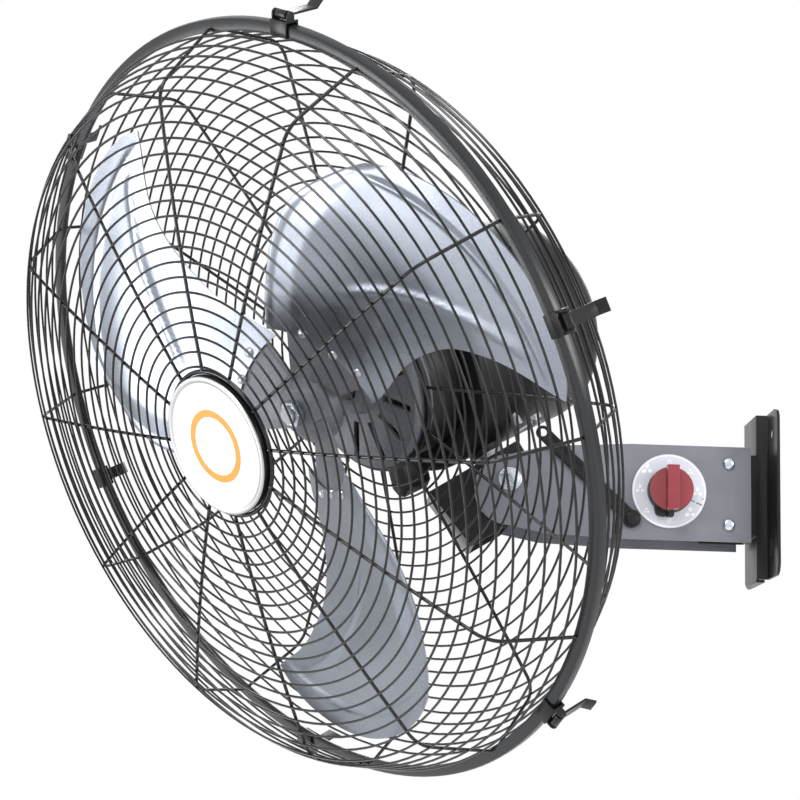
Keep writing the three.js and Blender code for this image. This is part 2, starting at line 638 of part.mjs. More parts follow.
const motorFoot = HEAD_HEIGHT - BELL_RADIUS; // underside of the motor above the bolt
const postTop = motorFoot - 4;
const flangeTop = NECK_TOP + SEAT + POST_FLANGE_HEIGHT;
const swivelPost = join(
  rodZ(POST_RADIUS, NECK_TOP - 12, postTop, 0, 0, 20),
  rodZ(POST_FLANGE_RADIUS, NECK_TOP + SEAT, flangeTop, 0, 0, 24));
addPiece(tiltGroup, 'swivel_post', swivelPost, steel);
const postNutTop = NECK_TOP - NECK_WALL - SEAT;
const postNut = cut(rodZ(POST_FLANGE_RADIUS + 2, postNutTop - 8, postNutTop, 0, 0, 6),
  rodZ(POST_RADIUS + SEAT, postNutTop - 9, NECK_TOP, 0, 0, 20));
addPiece(tiltGroup, 'post_nut', postNut, zinc);
const washerTop = flangeTop + SEAT + THRUST_WASHER;
const thrustWasher = cut(
  rodZ(POST_FLANGE_RADIUS, flangeTop + SEAT, washerTop, 0, 0, 24),
  rodZ(POST_RADIUS + SEAT, flangeTop, postTop, 0, 0, 20));
addPiece(tiltGroup, 'thrust_washer', thrustWasher, steel);

// ---- Swivel housing and gearbox, turning with the head. Heights count from the fan axis. ----
const socketFoot = washerTop + SEAT - HEAD_HEIGHT;
const socketRadius = POST_FLANGE_RADIUS + 1;
const statorRear = BELL_STATION - BELL_WALL - COIL_HEIGHT - 6 - STATOR_LENGTH;
const rearBellBack = statorRear - COIL_HEIGHT - 6 - BELL_WALL;
const coverInside = COVER_RADIUS - COVER_WALL;
const crankX = CRANK_REACH * Math.cos(radians(CRANK_BEARING));
const crankY = CRANK_REACH * Math.sin(radians(CRANK_BEARING));
const pinX = (CRANK_REACH + CRANK_ARM) * Math.cos(radians(CRANK_BEARING));
const pinY = (CRANK_REACH + CRANK_ARM) * Math.sin(radians(CRANK_BEARING));
const crankTop = -COVER_RADIUS - SEAT;
const shelfFoot = -coverInside + 6; // underside of the gearbox shelf

function makeGearbox() {
  const half = GEARBOX_WIDTH / 2;
  const front = -(rearBellBack - 2 * SEAT);
  const shelfTop = -BELL_RADIUS - 2;
  const socket = rodZ(socketRadius, socketFoot, shelfTop, 0, 0, 24);
  const shelf = block(-socketRadius, GEARBOX_LENGTH, -socketRadius, socketRadius, shelfFoot, shelfTop);
  const housing = block(front, GEARBOX_LENGTH, -half, half, shelfFoot + 6, SHAFT_RADIUS + 18);
  const crankTip = shelfFoot + CRANK_SPINDLE_TOP;
  const crankBoss = rodZ(CRANK_SPINDLE + 5, shelfFoot + 12, crankTip + 8, crankX, crankY, 20);
  const bossWeb = block(crankX - 6, crankX + 6, crankY, -half + 1, shelfFoot + 14, crankTip + 6);
  const postBore = rodZ(POST_RADIUS + SEAT, socketFoot - 1, postTop - HEAD_HEIGHT + 1, 0, 0, 20);
  const shaftBore = rodX(SHAFT_RADIUS + 2, front - 1, GEARBOX_LENGTH + 1, 0, 0, 16);
  const crankBore = rodZ(CRANK_SPINDLE + SEAT, shelfFoot, crankTip + 2, crankX, crankY, 16);
  return cut(join(socket, shelf, housing, crankBoss, bossWeb), postBore, shaftBore, crankBore);
}
addPiece(panGroup, 'gearbox_case', makeGearbox(), castMetal);

function makeCrank() {
  const foot = crankTop - CRANK_THICKNESS;
  const arm = new THREE.Shape();
  const turn = radians(CRANK_BEARING);
  arm.absarc(pinX, pinY, CRANK_HALF_WIDTH, turn - Math.PI / 2, turn + Math.PI / 2, false);
  arm.absarc(crankX, crankY, CRANK_HALF_WIDTH, turn + Math.PI / 2, turn + 1.5 * Math.PI, false);
  arm.closePath();
  const bar = plateZ(arm, foot, crankTop, 8);
  const spindle = rodZ(CRANK_SPINDLE, crankTop - 1, shelfFoot + CRANK_SPINDLE_TOP, crankX, crankY, 14);
  const pin = rodZ(CRANK_PIN, foot - CRANK_PIN_DROP, foot + 1, pinX, pinY, 12);
  return join(bar, spindle, pin);
}
addPiece(panGroup, 'oscillating_crank', makeCrank(), steel);

// ---- Motor ----
const shellInside = BELL_RADIUS - BELL_WALL;

function makeFrontBell() {
  const front = BELL_STATION;
  const back = front - BELL_WALL;
  let body = turned([
    [front + BOSS_HEIGHT, SHAFT_RADIUS + 2], [front + BOSS_HEIGHT, BOSS_RADIUS - 3],
    [front + BOSS_HEIGHT - 3, BOSS_RADIUS], [front, BOSS_RADIUS + 3], [front, BELL_RADIUS - 4],
    [front - 4, BELL_RADIUS], [front - BELL_DEPTH, BELL_RADIUS], [front - BELL_DEPTH, shellInside],
    [back, shellInside], [back, BEARING_RADIUS + 4], [back - BEARING_WIDTH, BEARING_RADIUS + 4],
    [back - BEARING_WIDTH, BEARING_RADIUS + SEAT], [back, BEARING_RADIUS + SEAT], [back, SHAFT_RADIUS + 2],
  ], ROUND_SIDES);
  const slot = block(-front - 1, -back + 1, -3.5, 3.5, BOSS_RADIUS + 12, BELL_RADIUS - 10);
  for (let i = 0; i < 12; i += 1) {
    body = cut(body, slot.rotate([15 + i * 30, 0, 0]));
  }
  return body;
}
addPiece(panGroup, 'front_bell', makeFrontBell(), castMetal);

function makeBearing(back) {
  return turned([
    [back, SHAFT_RADIUS + SEAT], [back + BEARING_WIDTH, SHAFT_RADIUS + SEAT],
    [back + BEARING_WIDTH, BEARING_RADIUS], [back, BEARING_RADIUS],
  ], 24);
}
const frontBearingBack = BELL_STATION - BELL_WALL - SEAT - BEARING_WIDTH;
addPiece(panGroup, 'front_bearing', makeBearing(frontBearingBack), steel);

const statorFront = statorRear + STATOR_LENGTH;
const shellBack = statorRear - 4;
function makeRing(outer, inner, back, front) {
  return turned([[back, inner], [front, inner], [front, outer], [back, outer]], ROUND_SIDES);
}
addPiece(panGroup, 'motor_shell',
  makeRing(BELL_RADIUS, shellInside, shellBack, BELL_STATION - BELL_DEPTH - SEAT), blackPaint);
addPiece(panGroup, 'stator_core',
  makeRing(shellInside - SEAT, STATOR_BORE, statorRear, statorFront), laminate);

function makeCoil(back) {
  const outer = shellInside - COIL_CLEARANCE;
  const inner = STATOR_BORE + COIL_CLEARANCE;
  const middle = (inner + outer) / 2;
  const half = (outer - inner) / 2;
  return turned([
    [back, middle - half * 0.6], [back + COIL_HEIGHT * 0.3, middle - half],
    [back + COIL_HEIGHT * 0.7, middle - half], [back + COIL_HEIGHT, middle - half * 0.6],
    [back + COIL_HEIGHT, middle + half * 0.6], [back + COIL_HEIGHT * 0.7, middle + half],
    [back + COIL_HEIGHT * 0.3, middle + half], [back, middle + half * 0.6],
  ], 20);
}
addPiece(panGroup, 'winding_front', makeCoil(statorFront + SEAT), copper);
addPiece(panGroup, 'winding_rear', makeCoil(statorRear - SEAT - COIL_HEIGHT), copper);

function makeRearBell() {
  const back = rearBellBack;
  const inner = back + BELL_WALL;
  const edge = shellBack - SEAT;
  return turned([
    [back, SHAFT_RADIUS + 2], [inner, SHAFT_RADIUS + 2], [inner, BEARING_RADIUS + SEAT],
    [inner + BEARING_WIDTH, BEARING_RADIUS + SEAT], [inner + BEARING_WIDTH, BEARING_RADIUS + 4],
    [inner, BEARING_RADIUS + 4], [inner, shellInside], [edge, shellInside], [edge, BELL_RADIUS],
    [back, BELL_RADIUS],
  ], ROUND_SIDES);
}
addPiece(panGroup, 'rear_bell', makeRearBell(), castMetal);
const rearBearingBack = rearBellBack + BELL_WALL + SEAT;
addPiece(panGroup, 'rear_bearing', makeBearing(rearBearingBack), steel);

// The black cowl around the gearbox and the back of the motor, with holes for post and crank
function makeCover() {
  const front = COVER_FRONT;
  const back = COVER_FRONT - COVER_LENGTH;
  const wall = COVER_WALL;
  const outside = [];
  const inside = [];
  for (let i = 0; i <= 4; i += 1) {
    const turn = (i / 4) * Math.PI / 2;
    const out = COVER_ROUND;
    outside.push([back + out - out * Math.sin(turn), COVER_RADIUS - out + out * Math.cos(turn)]);
    const inn = COVER_ROUND - wall;
    inside.unshift([back + out - inn * Math.sin(turn), COVER_RADIUS - out + inn * Math.cos(turn)]);
  }
  const shell = turned([
    [back + wall, 0], ...inside, [front - wall, COVER_RADIUS - wall],
    [front - wall, BELL_RADIUS + SEAT], [front, BELL_RADIUS + SEAT], [front, COVER_RADIUS],
    ...outside, [back, 0],
  ], ROUND_SIDES);
  const postHole = rodZ(socketRadius + 2, -COVER_RADIUS - 5, -COVER_RADIUS + 30, 0, 0, 24);
  const crankHole = rodZ(CRANK_SPINDLE + 2, -COVER_RADIUS - 5, -COVER_RADIUS + 40, crankX, crankY, 16);
  return cut(shell, postHole, crankHole);
}
addPiece(panGroup, 'motor_cover', makeCover(), blackPaint);

// Cable box on the motor shell's underside, standing out along its bearing
function makeCableBox() {
  const half = CABLE_BOX_WIDTH / 2;
  const back = CABLE_BOX_FRONT - CABLE_BOX_LENGTH;
  const foot = BELL_RADIUS + SEAT;
  const outline = polygon([
    [-half, foot - 4], [half, foot - 4], [half, foot + CABLE_BOX_DEPTH - 8],
    [4, foot + CABLE_BOX_DEPTH], [-4, foot + CABLE_BOX_DEPTH], [-half, foot + CABLE_BOX_DEPTH - 8],
  ]);
  const box = plateX(outline, -CABLE_BOX_FRONT, -back);
  const shell = rodX(BELL_RADIUS + 2 * SEAT, -CABLE_BOX_FRONT - 1, -back + 1, 0, 0, ROUND_SIDES);
  return cut(box, shell).rotate([-CABLE_BOX_BEARING, 0, 0]);
}
addPiece(panGroup, 'cable_box', makeCableBox(), blackPlastic);

// ---- Rotor ----
function makeShaft() {
  const back = rearBearingBack - SHAFT_TAIL;
  const front = HUB_STATION + HUB_LENGTH / 2 + SHAFT_NOSE;
  return turned([[back, 0], [back, SHAFT_RADIUS], [front, SHAFT_RADIUS], [front, 0]], 24);
}
addPiece(panGroup, 'rotor_shaft', makeShaft(), steel);
addPiece(panGroup, 'rotor_core',
  makeRing(STATOR_BORE - AIR_GAP, SHAFT_RADIUS + SEAT, statorRear, statorFront), laminate);

// Each blade is a pressed sheet between a hollow trailing edge and a swept leading edge.
// The edges list [radius, angle in degrees, distance in front of the hub's middle] from root to tip.
const TRAILING_EDGE = [[75, 122.6, -13], [130, 136.5, -10], [190, 138, -7], [250, 133, -1],
  [300, 125.6, -6], [326, 122.5, -9]];
const LEADING_EDGE = [[85, 206, 32], [128, 199, 41], [175, 194, 43], [222, 187, 42],
  [263, 178, 31], [290, 172, 24]];
const bladeScale = (RIM_RADIUS - BLADE_TIP_GAP) / TRAILING_EDGE[TRAILING_EDGE.length - 1][0];
const TIP_BULGE = 24;
const SPAN_STEPS = 9;
const CHORD_STEPS = 7;

function edgeAt(edge, share) {
  const place = share * (edge.length - 1);
  const i = Math.min(Math.floor(place), edge.length - 2);
  const points = [edge[Math.max(i - 1, 0)], edge[i], edge[i + 1], edge[Math.min(i + 2, edge.length - 1)]];
  const t = place - i;
  return [0, 1, 2].map((k) => {
    const [p0, p1, p2, p3] = points.map((point) => point[k]);
    const slope1 = (p2 - p0) / 2;
    const slope2 = (p3 - p1) / 2;
    const a = 2 * p1 - 2 * p2 + slope1 + slope2;
    const b = -3 * p1 + 3 * p2 - 2 * slope1 - slope2;
    return ((a * t + b) * t + slope1) * t + p1;
  });
}

function bladePoint(span, chord) {
  const trailing = edgeAt(TRAILING_EDGE, span);
  const leading = edgeAt(LEADING_EDGE, span);
  const bulge = Math.sin(Math.PI * chord);
  const straight = trailing[0] + (leading[0] - trailing[0]) * chord;
  const radius = bladeScale * straight + TIP_BULGE * span ** 4 * bulge;
  const angle = radians(trailing[1] + (leading[1] - trailing[1]) * chord);
  const station = HUB_STATION + bladeScale * (trailing[2] + (leading[2] - trailing[2]) * chord);
  return new THREE.Vector3(-station, radius * Math.sin(angle), radius * Math.cos(angle));
}

// A sheet through rows of points, with its faces moved along the fan axis by two amounts
function sheet(rows, nearShift, farShift) {
  const across = rows[0].length;
  const count = rows.length * across;
  const positions = [];
  for (const shift of [nearShift, farShift]) {
    for (const point of rows.flat()) positions.push(point.x + shift, point.y, point.z);
  }
  const index = [];
  const quad = (a, b, c, d) => index.push(a, b, c, a, c, d);
  for (let i = 0; i < rows.length - 1; i += 1) {
    for (let j = 0; j < across - 1; j += 1) {
      const a = i * across + j;
      quad(a, a + 1, a + across + 1, a + across);
      index.push(count + a, count + a + across + 1, count + a + 1);
      index.push(count + a, count + a + across, count + a + across + 1);
    }
  }
  const loop = [];
  for (let j = 0; j < across - 1; j += 1) loop.push(j);
  for (let i = 0; i < rows.length - 1; i += 1) loop.push(i * across + across - 1);
  for (let j = across - 1; j > 0; j -= 1) loop.push((rows.length - 1) * across + j);
  for (let i = rows.length - 1; i > 0; i -= 1) loop.push(i * across);
  loop.forEach((a, k) => {
    const b = loop[(k + 1) % loop.length];
    quad(b, a, count + a, count + b);
  });
  const geometry = new THREE.BufferGeometry();
  geometry.setAttribute('position', new THREE.Float32BufferAttribute(positions, 3));
  geometry.setIndex(index);
  return toSolid(geometry);
}

const counts = (from, to) => Array.from({ length: to - from + 1 }, (_, i) => from + i);
const bladeRows = counts(0, SPAN_STEPS).map(
  (i) => counts(0, CHORD_STEPS).map((j) => bladePoint(i / SPAN_STEPS, j / CHORD_STEPS)));
const blade = sheet(bladeRows, -BLADE_THICKNESS / 2, BLADE_THICKNESS / 2);
const bladeTurn = 360 / BLADE_COUNT;
for (let number = 0; number < BLADE_COUNT; number += 1) {
  addPiece(panGroup, `blade_${number + 1}`, blade.rotate([-number * bladeTurn, 0, 0]), bladeMetal);
}

// The spider: a cast boss with one pad under each blade's root, following the blade's twist
const PAD_ROWS = 2;
const PAD_EDGE = 1;

function makeSpider() {
  const back = HUB_STATION - HUB_LENGTH / 2;
  const front = HUB_STATION + HUB_LENGTH / 2;
  const boss = turned([
    [back, SHAFT_RADIUS + SEAT], [back, HUB_RADIUS - 4], [back + 3, HUB_RADIUS],
    [front - 12, HUB_RADIUS], [front - 8, HUB_RADIUS - 6], [front, HUB_RADIUS - 12],
    [front, SHAFT_RADIUS + SEAT],
  ], 24);
  const columns = counts(PAD_EDGE, CHORD_STEPS - PAD_EDGE);
  const middle = bladePoint(0, 0.5);
  const middleAngle = Math.atan2(middle.y, middle.z);
  const rootRow = columns.map((j) => {
    const point = bladePoint(0, j / CHORD_STEPS);
    const angle = middleAngle + (Math.atan2(point.y, point.z) - middleAngle) * 0.9;
    const radius = HUB_RADIUS - 8;
    const depth = -HUB_STATION + (point.x - middle.x) * 0.4 - SPIDER_THICKNESS / 2;
    return new THREE.Vector3(depth, radius * Math.sin(angle), radius * Math.cos(angle));
  });
  const padRows = counts(0, PAD_ROWS).map((i) => columns.map((j) => bladeRows[i][j]));
  const below = BLADE_THICKNESS / 2 + SEAT;
  const pad = sheet([rootRow, ...padRows], below, below + SPIDER_THICKNESS);
  let body = boss;
  for (let number = 0; number < BLADE_COUNT; number += 1) {
    body = join(body, pad.rotate([-number * bladeTurn, 0, 0]));
  }
  return cut(body, rodX(SHAFT_RADIUS + SEAT, -front - 1, -back + 1, 0, 0, 24));
}
addPiece(panGroup, 'hub_spider', makeSpider(), castMetal);

const hubFront = HUB_STATION + HUB_LENGTH / 2;
const hubNut = cut(rodX(HUB_NUT_RADIUS, -hubFront - HUB_NUT_HEIGHT, -hubFront - SEAT, 0, 0, 6),
  rodX(SHAFT_RADIUS + SEAT, -hubFront - HUB_NUT_HEIGHT - 1, -hubFront, 0, 0, 16));
addPiece(panGroup, 'hub_nut', hubNut, zinc);

// ---- Guard ----
// The wires' line in (distance in front of the rim plane, radius), from the centre to the rim
function guardLine(firstRadius, shoulder, slant, endRadius, endDepth) {
  const flat = (radius) => GUARD_DEPTH + 2 - GUARD_CROWN * (radius / shoulder) ** 2;
  const points = [firstRadius, (firstRadius + shoulder) / 2, shoulder - 1]
    .map((radius) => [flat(radius), radius]);
  const lean = radians(slant);
  const centreDepth = flat(shoulder) - SHOULDER_BEND;
  for (let i = 1; i <= 4; i += 1) {
    const turn = (Math.PI / 2 - lean) * i / 4;
    points.push([centreDepth + SHOULDER_BEND * Math.cos(turn), shoulder + SHOULDER_BEND * Math.sin(turn)]);
  }
  points.push([endDepth, endRadius]);
  return points;
}

function lineRadiusToDepth(line, radius) {
  const i = Math.max(1, line.findIndex((point) => point[1] >= radius));
  const [[d0, r0], [d1, r1]] = [line[i - 1], line[i]];
  return d0 + (d1 - d0) * (radius - r0) / (r1 - r0);
}

// One spoke follows the line as a bent square wire
function makeSpoke(line, forward) {
  const along = line.map((point, i) => {
    const before = line[Math.max(i - 1, 0)];
    const after = line[Math.min(i + 1, line.length - 1)];
    const slope = new THREE.Vector2(after[0] - before[0], after[1] - before[1]).normalize();
    return [point[0], point[1], -slope.y * WIRE_RADIUS, slope.x * WIRE_RADIUS];
  });
  const station = (depth) => -(RIM_STATION + forward * depth);
  const outer = along.map(([depth, radius, dx, dy]) => [station(depth + dx), radius + dy]);
  const inner = along.map(([depth, radius, dx, dy]) => [station(depth - dx), radius - dy]);
  return plateY(polygon([...outer, ...inner.reverse()]), -WIRE_RADIUS, WIRE_RADIUS);
}

function makeHoop(radius, station, wire, sides, wireSides) {
  const geometry = new THREE.TorusGeometry(radius, wire, wireSides, sides);
  return toSolid(geometry.rotateY(Math.PI / 2).translate(-station, 0, 0));
}

function makeGuardHalf(line, forward, rings, frame) {
  let body = frame;
  const spoke = makeSpoke(line, forward);
  for (let i = 0; i < GUARD_SPOKES; i += 1) {
    body = join(body, spoke.rotate([i * 360 / GUARD_SPOKES, 0, 0]));
  }
  rings.forEach((radius, i) => {
    const depth = lineRadiusToDepth(line, radius) + WIRE_RADIUS;
    const sides = i ? RING_SIDES : ROUND_SIDES;
    body = join(body, makeHoop(radius, RIM_STATION + forward * depth, WIRE_RADIUS, sides, 4));
  });
  return body;
}

// Radii of the rings, from the first one on the flat to the one on the side wall
function ringRadii(count, core, shoulder) {
  const first = core + FIRST_RING_GAP;
  const step = (shoulder - LAST_RING_INSET - first) / (count - 1);
  return [...counts(0, count - 1).map((i) => first + i * step), shoulder + SHOULDER_BEND + 4];
}

function makeFrontGuard() {
  const inner = RIM_RADIUS - RIM_FLANGE;
  const back = RIM_STATION - RIM_SKIRT;
  const wall = RIM_WALL;
  const rim = turned([
    [RIM_STATION, inner], [RIM_STATION, RIM_RADIUS], [back, RIM_RADIUS], [back, RIM_RADIUS - wall],
    [RIM_STATION - wall, RIM_RADIUS - wall], [RIM_STATION - wall, inner],
  ], 48);
  const firstRadius = BADGE_RADIUS + 2 * SEAT + WIRE_RADIUS;
  const shoulder = RIM_RADIUS - FRONT_SHOULDER_INSET;
  const line = guardLine(firstRadius, shoulder, FRONT_SLANT, inner + 2, -wall / 2);
  const rings = [firstRadius + 0.4, ...ringRadii(FRONT_RINGS, BADGE_RADIUS, shoulder)];
  return makeGuardHalf(line, 1, rings, rim);
}
addPiece(panGroup, 'front_guard', makeFrontGuard(), wirePaint);

const hoopStation = RIM_STATION - RIM_WALL - SEAT - REAR_HOOP_WIRE;

function makeRearGuard() {
  const hoopRadius = RIM_RADIUS - REAR_HOOP_INSET;
  const shoulder = RIM_RADIUS - REAR_SHOULDER_INSET;
  const hoop = makeHoop(hoopRadius, hoopStation, REAR_HOOP_WIRE, 48, 6);
  const outer = BELL_RADIUS + COLLAR_WALL;
  const line = guardLine(outer - 1, shoulder, REAR_SLANT, hoopRadius - 3, RIM_STATION - hoopStation);
  const collar = makeRing(outer, BELL_RADIUS + SEAT,
    RIM_STATION - line[0][0] - COLLAR_WALL / 2, RIM_STATION - line[0][0] + COLLAR_WALL / 2);
  const spoke = makeSpoke(line, -1);
  return makeGuardHalf(line, -1, ringRadii(REAR_RINGS, outer, shoulder), join(spoke, hoop, collar));
}
addPiece(panGroup, 'rear_guard', makeRearGuard(), wirePaint);

// ---- Badge: a bare shallow cup with a raised edge ----
function makeBadge() {
  const face = RIM_STATION + GUARD_DEPTH + BADGE_DEPTH - 1.5;
  const wall = BADGE_WALL;
  return turned([
    [face - 1, 0], [face - 1, BADGE_RADIUS - BADGE_RIM], [face, BADGE_RADIUS - BADGE_RIM + 1],
    [face, BADGE_RADIUS - 1], [face - 1, BADGE_RADIUS], [face - BADGE_DEPTH, BADGE_RADIUS],
    [face - BADGE_DEPTH, BADGE_RADIUS - wall], [face - 1 - wall, BADGE_RADIUS - wall],
    [face - 1 - wall, 0],
  ], ROUND_SIDES);
}
addPiece(panGroup, 'badge', makeBadge(), finish(0xd9d9db, 0.35, 0.3));

// ---- Guard clips: a bracket hooked over both rims and a lever that snaps down over it ----
const clipRadius = RIM_RADIUS + SEAT; // inside face of the bracket's outer web
const pinRadius = clipRadius + CLIP_PLATE + SEAT + LEVER_BARREL;
const pinStation = RIM_STATION - LEVER_BARREL;

function makeClipBase() {
  const plate = CLIP_PLATE;
  const front = RIM_STATION + SEAT;
  const back = hoopStation - REAR_HOOP_WIRE - SEAT;
  const inner = RIM_RADIUS - CLIP_OVERLAP;
  const outline = polygon([
    [-front - plate, inner], [-front, inner], [-front, clipRadius], [-back, clipRadius],
    [-back, inner + 4], [-back + plate, inner + 4], [-back + plate, clipRadius + plate],
    [-front - plate, clipRadius + plate],
  ]);
  const half = CLIP_WIDTH / 2;
  let body = plateY(outline, -half, half);
  for (const side of [-1, 1]) {
    const [y0, y1] = side < 0 ? [-half, -half + plate] : [half - plate, half];
    body = join(body,
      block(-pinStation - LEVER_BARREL, -pinStation + LEVER_BARREL, y0, y1, clipRadius + 1, pinRadius),
      rodY(LEVER_BARREL, y0, y1, -pinStation, pinRadius, 12));
  }
  return join(body, rodY(LEVER_PIN, -half + 1, half - 1, -pinStation, pinRadius, 8));
}

function makeClipLever() {
  const half = LEVER_WIDTH / 2;
  const foot = pinRadius - CLIP_PLATE / 2;
  const tip = -pinStation + LEVER_LENGTH;
  const blank = polygon([
    [-pinStation, foot], [tip - 8, foot], [tip, foot + 7], [tip - 2, foot + 8.5],
    [tip - 9, foot + CLIP_PLATE], [-pinStation, foot + CLIP_PLATE],
  ]);
  const barrel = rodY(LEVER_BARREL, -half, half, -pinStation, pinRadius, 12);
  return cut(join(plateY(blank, -half, half), barrel),
    rodY(LEVER_PIN + SEAT, -half - 1, half + 1, -pinStation, pinRadius, 8));
}
const clipBase = makeClipBase();
const clipLever = makeClipLever();
for (let i = 0; i < CLIP_COUNT; i += 1) {
  const turn = -(CLIP_FIRST + i * 360 / CLIP_COUNT);
  addPiece(panGroup, `clip_base_${i + 1}`, clipBase.rotate([turn, 0, 0]), blackPaint);
  addPiece(panGroup, `clip_lever_${i + 1}`, clipLever.rotate([turn, 0, 0]), zinc);
}

// ---- Oscillating link on the arm's near side ----
const strapBack = -armSide - 2 * SEAT;
const strapFront = strapBack - STRAP_THICKNESS;

function makeStrap() {
  const topX = -STRAP_TOP_REACH;
  const topZ = STRAP_TOP_LIFT;
  const turn = Math.atan2(topZ - studZ, topX - studX);
  const half = STRAP_WIDTH / 2;
  const shape = new THREE.Shape();
  shape.absarc(topX, topZ, half, turn - Math.PI / 2, turn + Math.PI / 2, false);
  shape.absarc(studX, studZ, half, turn + Math.PI / 2, turn + 1.5 * Math.PI, false);
  shape.closePath();
  return cut(
    join(plateY(shape, strapFront, strapBack, 8),
      rodY(STRAP_END_RADIUS, strapFront, strapBack, studX, studZ, 24)),
    rodY(STUD_RADIUS + SEAT, strapFront - 1, strapBack + 1, studX, studZ, 14),
    rodY(CRANK_PIN + SEAT, strapFront - 1, strapBack + 1, topX, topZ, 14));
}
addPiece(fan, 'link_strap', makeStrap(), blackPaint);

const studTop = strapFront - SEAT;
const linkStud = join(
  rodY(STUD_RADIUS, studTop - 1, -armInside + SEAT + 1, studX, studZ, 12),
  rodY(STUD_HEAD_RADIUS, studTop - STUD_HEAD_HEIGHT, studTop, studX, studZ, 16),
  rodY(STUD_HEAD_RADIUS, -armInside + SEAT, -armInside + SEAT + STUD_HEAD_HEIGHT, studX, studZ, 16));
addPiece(fan, 'link_stud', linkStud, zinc);

export default fan;
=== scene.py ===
# Wall mounted fan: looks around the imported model. Metres, +Z up, the wall is the plane x = 0.
import math

import bmesh
import bpy
from mathutils import Matrix, Vector


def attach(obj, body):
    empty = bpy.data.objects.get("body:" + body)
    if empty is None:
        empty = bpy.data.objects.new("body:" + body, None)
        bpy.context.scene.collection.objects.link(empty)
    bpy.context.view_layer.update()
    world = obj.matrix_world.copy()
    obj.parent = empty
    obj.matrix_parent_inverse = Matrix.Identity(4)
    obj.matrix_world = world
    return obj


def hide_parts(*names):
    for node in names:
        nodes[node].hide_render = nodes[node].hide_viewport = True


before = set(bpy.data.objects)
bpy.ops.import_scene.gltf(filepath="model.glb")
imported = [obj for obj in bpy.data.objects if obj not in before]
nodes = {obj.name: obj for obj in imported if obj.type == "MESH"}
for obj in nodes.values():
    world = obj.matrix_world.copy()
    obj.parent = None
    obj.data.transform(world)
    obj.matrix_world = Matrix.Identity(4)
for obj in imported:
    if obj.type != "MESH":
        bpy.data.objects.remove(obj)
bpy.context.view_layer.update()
print("frame loaded")

mm = 0.001
head = {"boltReach": 246.2, "boltLift": 7.8, "height": 146.1, "tilt": 32.2, "pan": 33.1}
tiltPlace = (Matrix.Translation((-head["boltReach"] * mm, 0, head["boltLift"] * mm))
             @ Matrix.Rotation(-math.radians(head["tilt"]), 4, "Y"))
headPlace = (tiltPlace @ Matrix.Translation((0, 0, head["height"] * mm))
             @ Matrix.Rotation(math.radians(head["pan"]), 4, "Z"))
still = Matrix.Identity(4)


# Camera: a square-pixel match of the photograph, which is stretched sideways
camera = {"at": (-395.3, -1907.2, -286.5), "right": (0.99918, -0.02907, 0.02823),
          "up": (-0.03328, -0.19132, 0.98096), "ahead": (0.02312, 0.98110, 0.19213), "lens": 91.07}


def makeCamera():
    right, up, ahead = (Vector(camera[k]).normalized() for k in ("right", "up", "ahead"))
    turn = Matrix((right, up, -ahead)).transposed().to_4x4()
    data = bpy.data.cameras.new("photoCamera")
    data.lens = camera["lens"]
    data.sensor_width = 36
    data.clip_end = 50
    made = bpy.data.objects.new("photoCamera", data)
    made.matrix_world = Matrix.Translation(Vector(camera["at"]) * mm) @ turn
    bpy.context.scene.collection.objects.link(made)
    bpy.context.scene.camera = made


makeCamera()


# A value in a node tree, so that sums read as sums
class Value:
    def __init__(self, graph, socket):
        self.graph = graph
        self.socket = socket

    def sum(self, operation, other):
        return self.graph.out("ShaderNodeMath", {"operation": operation}, {0: self, 1: other})

    def __add__(self, other):
        return self.sum("ADD", other)

    def __sub__(self, other):
        return self.sum("SUBTRACT", other)

    def __mul__(self, other):
        return self.sum("MULTIPLY", other)

    def __truediv__(self, other):
        return self.sum("DIVIDE", other)


class Graph:
    def __init__(self, tree):
        self.tree = tree

    def node(self, kind, settings=None, inputs=None):
        made = self.tree.nodes.new(kind)
        for key, value in (settings or {}).items():
            if key == "stops":
                ramp = made.color_ramp
                while len(ramp.elements) < len(value):
                    ramp.elements.new(0.5)
                for element, (place, tone) in zip(ramp.elements, value):
                    element.position = place
                    element.color = (*tone, 1)
            else:
                setattr(made, key, value)
        for key, value in (inputs or {}).items():
            if isinstance(value, Value):
                self.tree.links.new(value.socket, made.inputs[key])
            else:
                made.inputs[key].default_value = value
        return made

    def out(self, kind, settings=None, inputs=None, output=0):
        return Value(self, self.node(kind, settings, inputs).outputs[output])


# ---- Finishes. Every one reads Object coordinates, so patterns have their real size ----
def startFinish(name):
    made = bpy.data.materials.new(name)
    made.use_nodes = True
    made.node_tree.nodes.clear()
    graph = Graph(made.node_tree)
    where = graph.out("ShaderNodeTexCoord", None, None, 3)
    return made, graph, where


def noise(graph, where, scale, detail=3.0, roughness=0.55, stretch=None):
    if stretch:
        where = graph.out("ShaderNodeMapping", None, {"Vector": where, "Scale": stretch})
    return graph.out("ShaderNodeTexNoise", None,
                     {"Vector": where, "Scale": scale, "Detail": detail, "Roughness": roughness})


def mixTone(graph, share, first, second):
    node = graph.node("ShaderNodeMix", {"data_type": "RGBA"})
    graph.tree.links.new(share.socket, node.inputs[0])
    for place, tone in ((6, first), (7, second)):
        if isinstance(tone, Value):
            graph.tree.links.new(tone.socket, node.inputs[place])
        else:
            node.inputs[place].default_value = (*tone, 1)
    return Value(graph, node.outputs[2])


def spread(graph, value, low, high, newLow=0.0, newHigh=1.0):
    return graph.out("ShaderNodeMapRange", None, {0: value, 1: low, 2: high, 3: newLow, 4: newHigh})


def bumped(graph, height, distance, strength=1.0, under=None):
    inputs = {"Height": height, "Distance": distance, "Strength": strength}
    if under:
        inputs["Normal"] = under
    return graph.out("ShaderNodeBump", None, inputs)


